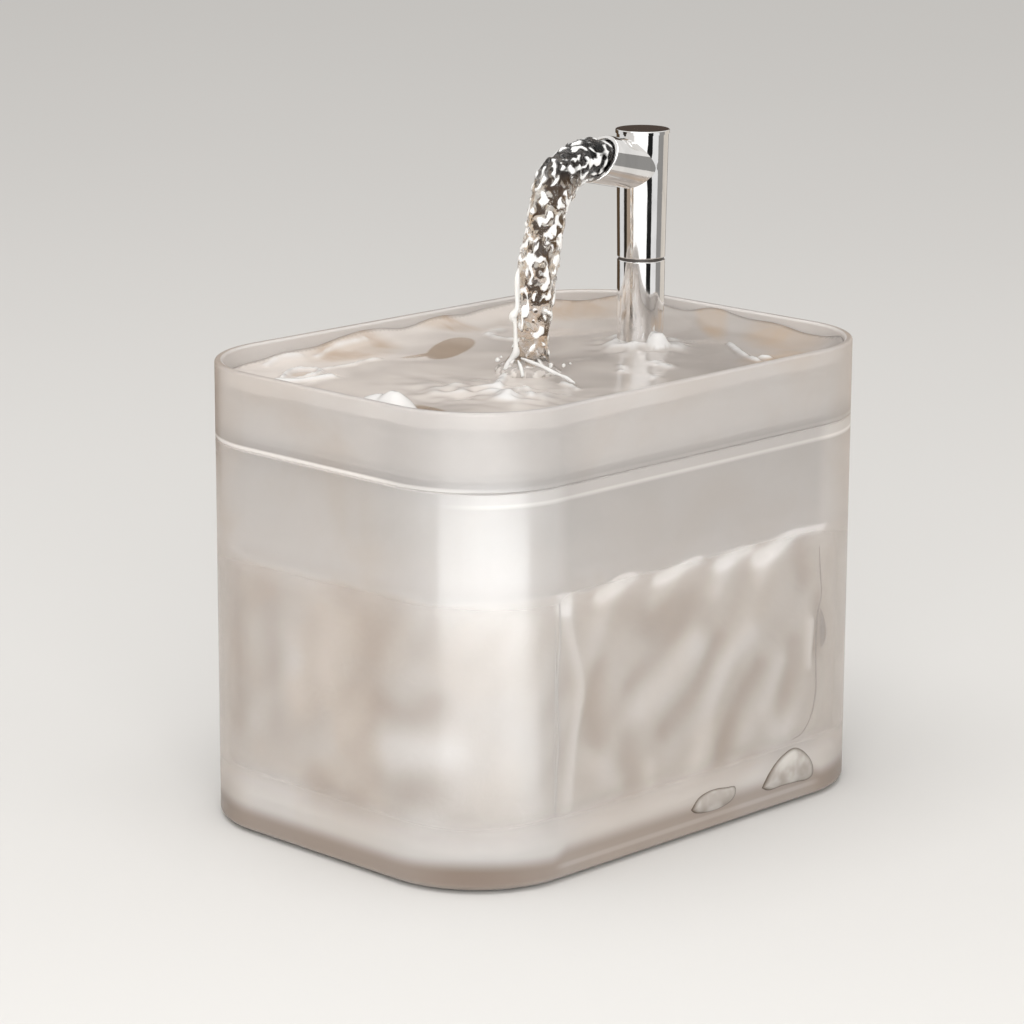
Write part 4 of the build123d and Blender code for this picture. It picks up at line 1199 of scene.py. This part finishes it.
class FOUNTAIN_OT_tank_water(FountainStep):
    """Fill the tank with water that folds against its walls, with painted light and shade and painted
    highlights at its edge
    """

    bl_idname = "fountain.tank_water"
    bl_label = "Tank Water"

    def execute(self, context):
        water = context.scene.fountain_water
        colours = context.scene.fountain_colours
        wall_gap = 0.35 * MM
        half_x, half_y, radius = HALF_WIDTH - wall_gap, HALF_LENGTH - wall_gap, CORNER_RADIUS - wall_gap
        wall_step, open_step = 1.3 * MM, 3.0 * MM
        outline, normals = rounded_outline(half_x, half_y, radius, wall_step)
        shore = np.array(smooth_path(LONG_SIDE_EDGE, 6))

        def inside(x, y):
            return depth_inside(x, y, half_x, half_y, radius)

        def top(x, y):
            """Height of the water, which rises and falls with the shore beside a long side."""
            u, v = Vector((x / MM, y / MM))
            open_water = water.tank_level \
                + 2.0 * MM * ripple(u, v, 14, 12, 4.2) + 0.5 * MM * ripple(u, v, 6, 6, 8.8)
            beside = math.exp(-(half_x - abs(x)) / (7 * MM))
            at_wall = np.interp(v if x > 0 else -v, shore[:, 0], shore[:, 1]) * MM
            return open_water + beside * (at_wall - open_water)

        plane, faces = filled(outline, [], inside, open_step)
        points = [(x, y, top(x, y)) for x, y in plane]
        count = len(outline)
        tops = np.array([top(x, y) for x, y in outline])
        heights, crest_light, glow, inset = self.folds(water, outline, normals, tops,
                                                 half_x - radius, half_y - radius, radius)
        # The painted light marks of the edge and of the open water, and its faint painted glow
        at_edge, in_open, faint = 1.0, 0.55, 0.14
        marks = [at_edge] * count + [in_open] * (len(points) - count)
        shine = [faint] * len(points)
        above = list(range(count))
        for row, height in enumerate(heights):
            below = list(range(len(points), len(points) + count))
            places = outline - normals * inset[row][:, None]
            points += [(x, y, z) for (x, y), z in zip(places, height)]
            marks += crest_light[row].tolist()
            shine += glow[row].tolist()
            faces += between(above, below)
            above = below
        base = np.array([points[k][:2] for k in above])
        faces += [[above[v] for v in face] for face in filled(base, [], lambda x, y: 1.0, 0)[1]]

        # The water glows, as painted light: faintly where its folds are lit, more at its marked glows.
        finish = Finish("tank_water", transmission_weight=0.12, ior=WATER_IOR, emission_strength=1.0)
        swirl = finish.cloud(17 * MM, detail=3.0, warp=1.2)
        # The folds are painted lighter where the mark is high and darker where it is low: painted light and
        # shade.
        soft = (finish.mark("crest_light") + 0.16 * swirl - 0.08).step(0.0, 1.05)
        dim = finish.mix(soft, (0.03, 0.02, 0.012), (0.15, 0.145, 0.14))
        # Warm tint at random, and warmer on the left part of the short side at -Y: painted warm light that
        # shows through.
        short_side = (0 - finish.along("Y")).step(60 * MM, 84 * MM) \
            * (1 - finish.along("X").step(10 * MM, 45 * MM))
        tan = finish.mix(short_side, (0.99, 0.95, 0.90), (0.99, 0.89, 0.79))
        tint = finish.mix(finish.cloud(27 * MM, detail=1.0).step(0.40, 0.60), (1, 1, 1), tan)
        plain = finish.mix(soft, colours.water_shade, colours.water_light)
        finish.set({
            "base_color": finish.mix(1.0, plain, tint, blend="MULTIPLY"),
            "emission_color": finish.mix(finish.mark("glow"), dim, (0.53, 0.55, 0.57)),
            "roughness": 0.28 + 0.15 * swirl,
            "normal": finish.bump(finish.cloud(5 * MM, detail=2.0, warp=1.0), 0.3 * MM),
        })
        new_piece("tank_water", points, faces, finish, "tank_body", marks={"crest_light": marks, "glow": shine})
        self.waterline(outline, normals, top)
        self.side_lines()
        self.wall_drops()
        return {"FINISHED"}

    def folds(self, water, outline, normals, tops, flat_x, flat_y, radius):
        """The wall of water, row by row: heights, the two marks, and how far it stands in."""
        rows = 72
        low = TANK_FLOOR + 0.25 * MM
        # How far round a corner a wall's folds go, and over what angle they fade out
        past, fade_over = math.radians(58), math.radians(28)
        # The light mark of a flat wall, of the nearest corner, lighter as a painted highlight, and of the
        # other ones
        flat_mark, lit_corner, far_corner = 0.52, 0.60, 0.46
        brightest = 1.8
        count = len(outline)
        shares = np.arange(1, rows + 1) / rows
        heights = tops[None, :] + (low - tops[None, :]) * shares[:, None]
        (ox, oy), (nx, ny) = outline.T, normals.T
        plain = np.where((nx > 0) & (ny < 0), lit_corner, far_corner)
        crest_light = np.broadcast_to(plain, (rows, count)).copy()
        relief = np.zeros((rows, count))
        # Near the floor the water glows: painted light.
        glow = 0.4 * np.clip(1 - (heights - TANK_FLOOR) / FLOOR_FILLET, 0, 1)
        around = np.arctan2(ny, nx)
        # Each wall's direction, half of its flat run, its folds, its glows and how deep they go
        for face, reach, folds, glows, softness in (
                (0, flat_y, LONG_SIDE_FOLDS, LONG_SIDE_GLOWS, 1.0),
                (math.pi, flat_y, LONG_SIDE_FOLDS, LONG_SIDE_GLOWS, 1.0),
                (-math.pi / 2, flat_x, SHORT_SIDE_FOLDS, [], 0.75),
                (math.pi / 2, flat_x, SHORT_SIDE_FOLDS, [], 0.75)):
            # Distance to the right along the wall, as seen from outside, and on round the corners
            swing = (around - face + math.pi) % (2 * math.pi) - math.pi
            columns = np.nonzero(abs(swing) < past)[0]
            along = np.clip(oy * math.cos(face) - ox * math.sin(face), -reach, reach) + radius * swing
            fade = np.clip((past - abs(swing[columns])) / fade_over, 0, 1)
            side = heights[:, columns]
            spots = (np.stack([np.broadcast_to(along[columns], side.shape), side], -1) / MM).reshape(-1, 2)
            grain = np.array([0.20 * ripple(u / 11 - v / 16, v, 1, 26, reach) for u, v in spots])
            shape = (near_strokes(spots, folds) + grain).reshape(rows, -1)
            crest_light[:, columns] += fade * (flat_mark - plain[columns] + shape * softness)
            glow[:, columns] += fade * near_strokes(spots, glows).reshape(rows, -1)
            relief[:, columns] = np.maximum(relief[:, columns], softness * fade)
        crest_light, glow = np.clip(crest_light, 0, 1), np.clip(glow, 0, brightest)
        # The folds fade out over the top rows and above the floor, whose edge is rounded.
        floor_rise = np.clip((heights - low) / (6 * MM) + 0.15, 0, 1)
        relief *= np.clip(shares * rows / 4, 0, 1)[:, None] * floor_rise
        inset = water.tank_relief * (1 - crest_light) * relief
        lift = np.clip(FLOOR_FILLET - (heights - TANK_FLOOR), 0, FLOOR_FILLET)
        inset += FLOOR_FILLET - np.sqrt(FLOOR_FILLET ** 2 - lift ** 2) + np.where(lift > 0, 0.1 * MM, 0)
        return heights, crest_light, glow, inset

    def upright(self, corners, steps, depth=0.0):
        """A thin tube up the long wall through corners (y, z, radius), some depth behind its face."""
        line = smooth_path(corners, steps)
        face_x = HALF_WIDTH - 0.34 * MM - depth
        return swept_tube([Vector((face_x, y * MM, z * MM)) for y, z, _ in line],
                          [radius * MM for _, _, radius in line], 10)

    def waterline(self, outline, normals, top):
        """The bright edge where the water meets the walls, and bright lines down the long wall: thin tubes
        painted near white as painted highlights.
        """
        sides = 10
        points = []
        for (x, y), (nx, ny) in zip(outline, normals):
            place = Vector((x - nx * 0.08 * MM, y - ny * 0.08 * MM, top(x, y) + 0.1 * MM))
            wave = max(0.0, ripple(place.x, place.y, 11 * MM, 11 * MM, 0.5))
            size = (0.3 + 0.5 * wave if abs(nx) > 0.7 else 0.22 + 0.25 * wave) * MM
            for s in range(sides):
                turn = 2 * math.pi * s / sides
                points.append(place + Vector((nx, ny, 0)) * (0.2 * MM * math.cos(turn))
                              + Vector((0, 0, size * math.sin(turn))))
        rings = [range(k, k + sides) for k in range(0, len(points), sides)]
        faces = [face for ring, following in zip(rings, [*rings[1:], rings[0]])
                 for face in between(ring, following)]
        lines = [
            [(-56.0, 84.0, 0.26), (-55.6, 72, 0.22), (-56.6, 58, 0.25), (-55.8, 44, 0.2), (-56.8, 30, 0.24),
             (-57.0, 13, 0.15)],
            [(-57.4, 76, 0.12), (-57.2, 58, 0.2), (-57.4, 40, 0.16), (-57.2, 22, 0.12)],
        ]
        points, faces = join_meshes([(points, faces), *(self.upright(line, 8) for line in lines)])
        painted_glint = thin_water_finish("water_edge", 6 * MM, (0.90, 0.89, 0.87), (1.0, 1.0, 0.99),
                                  0.12, 0.1 * MM, transmission_weight=0.2)
        new_piece("tank_water_edge", points, faces, painted_glint, "tank_body")

    def side_lines(self):
        """A dark line where the water folds at the long wall's end, and a leaf-shaped patch beside it: both
        painted shade.
        """
        contour = [(57.8, 79, 0.1), (58.4, 72, 0.2), (59.2, 63.6, 0.14), (57.4, 57.1, 0.24),
                   (57.2, 44.4, 0.26), (57.6, 33.6, 0.24), (55.6, 26, 0.2), (51.6, 21.4, 0.18),
                   (46.8, 20.2, 0.12)]
        leaf = [(59.6, 59.6, 0.06), (60.6, 56.6, 0.42), (61.2, 52.8, 0.78), (61.2, 49.4, 0.72),
                (60.6, 46.4, 0.08)]
        points, faces = join_meshes([self.upright(contour, 10), self.upright(leaf, 10, 0.66 * MM)])
        shade = thin_water_finish("water_side", 8 * MM, (0.26, 0.20, 0.16), (0.36, 0.30, 0.25),
                                  0.2, 0.1 * MM, transmission_weight=0.1, emission_strength=0.06)
        shade.set({"emission_color": shade.mix(shade.cloud(8 * MM), (0.10, 0.07, 0.05), (0.16, 0.12, 0.09))})
        new_piece("tank_water_side", points, faces, shade, "tank_body")

    def wall_drops(self):
        """Two drops that hang on the outside of a long wall, with dark rims and darker bellies: painted
        shade.
        """
        # y and z round the edge of each drop, in millimetres
        loops = [
            [(31.4, 8.6), (34.4, 12.4), (38.0, 15.4), (42.0, 17.4), (45.6, 18.2), (48.6, 17.4),
             (51.6, 15.4), (54.2, 12.6), (55.4, 9.6), (54.8, 7.4), (51.8, 6.6), (47.0, 7.0), (40.6, 7.3),
             (34.6, 7.2)],
            [(-0.6, 9.0), (2.3, 11.8), (6.0, 13.0), (10.6, 13.2), (15.2, 12.6), (19.0, 12.0), (19.2, 9.6),
             (17.0, 7.8), (12.4, 6.8), (6.4, 6.8), (1.4, 7.6)],
        ]
        # Sizes of the rings that close in over a drop, as shares of its edge
        rings = (1.0, 0.985, 0.95, 0.9, 0.82, 0.7, 0.5, 0.25)
        face_x = TANK_HIGH.x + 0.02 * MM
        meshes, shade_marks = [], []
        for loop in loops:
            around = smooth_path([*loop, loop[0]], 6)[:-1]
            middle = np.array(loop).mean(axis=0)
            low, high = min(p[1] for p in loop), max(p[1] for p in loop)
            points = []

            def dome(p, scale, proud):
                """Adds a point of the drop, scaled towards its middle, and its mark of painted shade."""
                y, z = middle + (np.array(p) - middle) * scale
                up = (z - low) / (high - low)
                points.append(Vector((face_x + proud * (1.15 - 0.5 * up) * MM, y * MM, z * MM)))
                belly_shade = min(1.0, max(0.0, 0.6 - up) * 2.2)
                rim = max(0.0, (scale - 0.86) / 0.1)
                shade_marks.append(min(1.0, 0.45 * belly_shade * (0.6 + 0.4 * math.sin(y * 0.55)) + 0.7 * rim))

            for scale in rings:
                for p in around:
                    dome(p, scale, (1 - scale ** 3) ** 0.5)
            dome(middle, 0.0, 0.0)
            dome(middle, 0.0, 1.0)
            turn = len(around)
            inner = (len(rings) - 1) * turn
            faces = []
            for first in range(0, inner, turn):
                faces += between(range(first, first + turn), range(first + turn, first + 2 * turn))
            faces += [(len(points) - 2, (k + 1) % turn, k) for k in range(turn)]
            faces += [(len(points) - 1, inner + k, inner + (k + 1) % turn) for k in range(turn)]
            meshes.append((points, faces))
        points, faces = join_meshes(meshes)
        drop = Finish("wall_drops", transmission_weight=0.25, ior=WATER_IOR)
        swirl = drop.cloud(7 * MM)
        tint = drop.mix(swirl.step(0.35, 0.65), (0.44, 0.40, 0.365), (0.64, 0.61, 0.575))
        # Rims and bellies are painted dark: painted shade.
        drop.set({
            "base_color": drop.mix(drop.mark("dark"), tint, (0.14, 0.11, 0.085)),
            "roughness": 0.05 + 0.06 * swirl,
            "normal": drop.bump(swirl, 0.05 * MM),
        })
        new_piece("tank_wall_drops", points, faces, drop, "tank_body", marks={"dark": shade_marks})


class FOUNTAIN_OT_stage(FountainStep):
    """Set the floor, the lights, the cards that the chrome mirrors, and the camera"""

    bl_idname = "fountain.stage"
    bl_label = "Stage"

    def execute(self, context):
        stage = context.scene.fountain_stage
        self.floor(stage)
        self.light(context, stage)
        self.cards(stage)
        self.boards()
        self.camera(context)
        context.scene.view_settings.view_transform = "Standard"
        return {"FINISHED"}

    def staged(self, name, points, faces, finish):
        """A thing of the stage, which isn't part of the fountain."""
        thing = mesh_object(name, points, faces, finish)
        return thing

    def floor(self, stage):
        reach = 30.0
        finish = Finish("floor", specular_ior_level=0.0)
        cloud = finish.cloud(0.6, detail=3.0)
        finish.set({
            "base_color": finish.mix(cloud, tone(stage.floor, 0.985), tone(stage.floor, 1.015)),
            "roughness": 0.75 + 0.1 * cloud,
        })
        corners = [(-reach, -reach, 0), (reach, -reach, 0), (reach, reach, 0), (-reach, reach, 0)]
        self.staged("floor", corners, [(0, 1, 2, 3)], finish)

    def light(self, context, stage):
        world = bpy.data.worlds.new("room")
        world.use_nodes = True
        background = world.node_tree.nodes["Background"]
        background.inputs["Color"].default_value = (1.0, 0.985, 0.965, 1.0)
        background.inputs["Strength"].default_value = stage.sky
        context.scene.world = world
        # name, degrees round from the front, height, distance, size, power and colour
        for name, azimuth, height, distance, size, power, colour in (
            ("key", 46, 0.34, 1.25, 0.8, stage.key, (1.0, 0.99, 0.97)),
            ("overhead", 10, 1.5, 0.3, 1.2, stage.key * 0.7, (1.0, 1.0, 1.0)),
        ):
            lamp = bpy.data.lights.new(name, "AREA")
            lamp.energy, lamp.size, lamp.color = power, size, colour
            place = bpy.data.objects.new(name, lamp)
            turn = math.radians(azimuth)
            place.location = (distance * math.sin(turn), -distance * math.cos(turn), height)
            aim = Vector((0, 0, 0.09)) - place.location
            place.rotation_euler = aim.to_track_quat("-Z", "Y").to_euler()
            context.scene.collection.objects.link(place)

    def glowing(self, name, points, colour, strength):
        """A strip that shines, through pairs of points, and that only glossy things show."""
        finish = Finish(name, base_color=(0, 0, 0), specular_ior_level=0.0,
                        emission_color=colour, emission_strength=strength)
        faces = [(k, k + 2, k + 3, k + 1) for k in range(0, len(points) - 2, 2)]
        strip = self.staged(name, points, faces, finish)
        strip.visible_camera = strip.visible_diffuse = strip.visible_shadow = False
        strip.visible_volume_scatter = False
        return strip

    def cards(self, stage):
        """Bright and dark cards that stand round the faucet and show in its plating."""
        # from and to, in degrees to the right of the camera, brightness and colour
        bands = [
            (-180, -164, 0.08, (1, 0.76, 0.62)), (-164, -124, 0.10, (0.9, 0.6, 0.35)),
            (-124, -92, 0.75, (1, 1, 1)), (-92, -74, 0.03, (1, 0.8, 0.6)),
            (-74, -52, 0.42, (1.0, 0.80, 0.62)), (-52, 23, 1.25, (1, 1, 1)), (23, 45, 0.015, (1, 1, 1)),
            (45, 74, 0.85, (1, 1, 1)), (74, 106, 0.30, (1, 0.98, 0.95)), (106, 160, 0.70, (1, 0.93, 0.84)),
            (160, 180, 0.08, (1, 0.76, 0.62)),
        ]
        for k, (start, end, strength, colour) in enumerate(bands):
            steps = max(2, round((end - start) / 6))
            # The two behind the faucet, seen from the camera, stand higher.
            top = stage.card_height * (1.35 if 180 in (abs(start), abs(end)) else 1)
            points = []
            for step in range(steps + 1):
                turn = math.radians(CAMERA_AZIMUTH + start + (end - start) * step / steps)
                x = stage.card_distance * math.sin(turn)
                y = FAUCET_Y - stage.card_distance * math.cos(turn)
                points += [(x, y, 0.0), (x, y, top)]
            self.glowing(f"card_{k}", points, colour, strength)

    def boards(self):
        """White boards on the floor in front of the rounded corner, which only its gloss shows."""
        steps = 16
        middle_x, middle_y, height = 0.0315, -0.0575, 0.001
        # near and far edge, from and to in degrees round the corner's middle, and brightness
        for k, (near, far, start, end, strength) in enumerate((
                (0.35, 0.435, 8, 95, 23.0), (0.12, 0.35, 12, 104, 2.3))):
            points = []
            for step in range(steps + 1):
                turn = math.radians(start + (end - start) * step / steps)
                points += [(middle_x + r * math.sin(turn), middle_y - r * math.cos(turn), height)
                           for r in (near, far)]
            board = self.glowing(f"board_{k}", points, (0.95, 0.98, 1.0), strength)
            board.visible_transmission = False

    def camera(self, context):
        azimuth, elevation, roll = (math.radians(angle) for angle in (CAMERA_AZIMUTH, 13.7, 0.24))
        # The tank's height, in which the next three are given, and the lens in pixels
        height, distance, side, rise, focal = 0.14, 8.27, -0.055, 0.130, 3805
        image_size = 1024
        back = Vector((math.sin(azimuth) * math.cos(elevation), -math.cos(azimuth) * math.cos(elevation),
                       math.sin(elevation)))
        right = (-back).cross(Vector((0, 0, 1))).normalized()
        up = right.cross(-back)
        turned_right = math.cos(roll) * right + math.sin(roll) * up
        turned_up = -math.sin(roll) * right + math.cos(roll) * up
        lens = bpy.data.cameras.new("camera")
        lens.sensor_width = 36
        lens.lens = focal / image_size * lens.sensor_width
        lens.clip_start, lens.clip_end = 0.05, 100
        eye = bpy.data.objects.new("camera", lens)
        matrix = Matrix((turned_right, turned_up, back)).transposed().to_4x4()
        centre = Vector((0, 0, 0.5))
        matrix.translation = (back * distance + turned_right * side + turned_up * rise + centre) * height
        eye.matrix_world = matrix
        context.scene.collection.objects.link(eye)
        context.scene.camera = eye


STEPS = (FOUNTAIN_OT_body, FOUNTAIN_OT_faucet, FOUNTAIN_OT_filter, FOUNTAIN_OT_pump,
         FOUNTAIN_OT_tray_water, FOUNTAIN_OT_stream, FOUNTAIN_OT_tank_water, FOUNTAIN_OT_stage)


class VIEW3D_PT_fountain(bpy.types.Panel):
    """Steps and settings of the fountain's looks"""

    bl_label = "Water Fountain"
    bl_space_type = "VIEW_3D"
    bl_region_type = "UI"
    bl_category = "Fountain"

    def draw(self, context):
        for step in STEPS:
            self.layout.operator(step.bl_idname, text=step.bl_label)
        scene = context.scene
        for group in (scene.fountain_water, scene.fountain_colours, scene.fountain_stage):
            box = self.layout.box()
            for name in group.__annotations__:
                box.prop(group, name)


CLASSES = (FountainWater, FountainColours, FountainStage, *STEPS, VIEW3D_PT_fountain)


def register():
    for cls in CLASSES:
        bpy.utils.register_class(cls)
    bpy.types.Scene.fountain_water = PointerProperty(type=FountainWater)
    bpy.types.Scene.fountain_colours = PointerProperty(type=FountainColours)
    bpy.types.Scene.fountain_stage = PointerProperty(type=FountainStage)


def unregister():
    del bpy.types.Scene.fountain_stage
    del bpy.types.Scene.fountain_colours
    del bpy.types.Scene.fountain_water
    for cls in reversed(CLASSES):
        bpy.utils.unregister_class(cls)


def main():
    register()
    bpy.ops.fountain.body()
    bpy.ops.fountain.faucet()
    bpy.ops.fountain.filter()
    bpy.ops.fountain.pump()
    bpy.ops.fountain.tray_water()
    bpy.ops.fountain.stream()
    bpy.ops.fountain.tank_water()
    bpy.ops.fountain.stage()


if __name__ == "__main__":
    main()
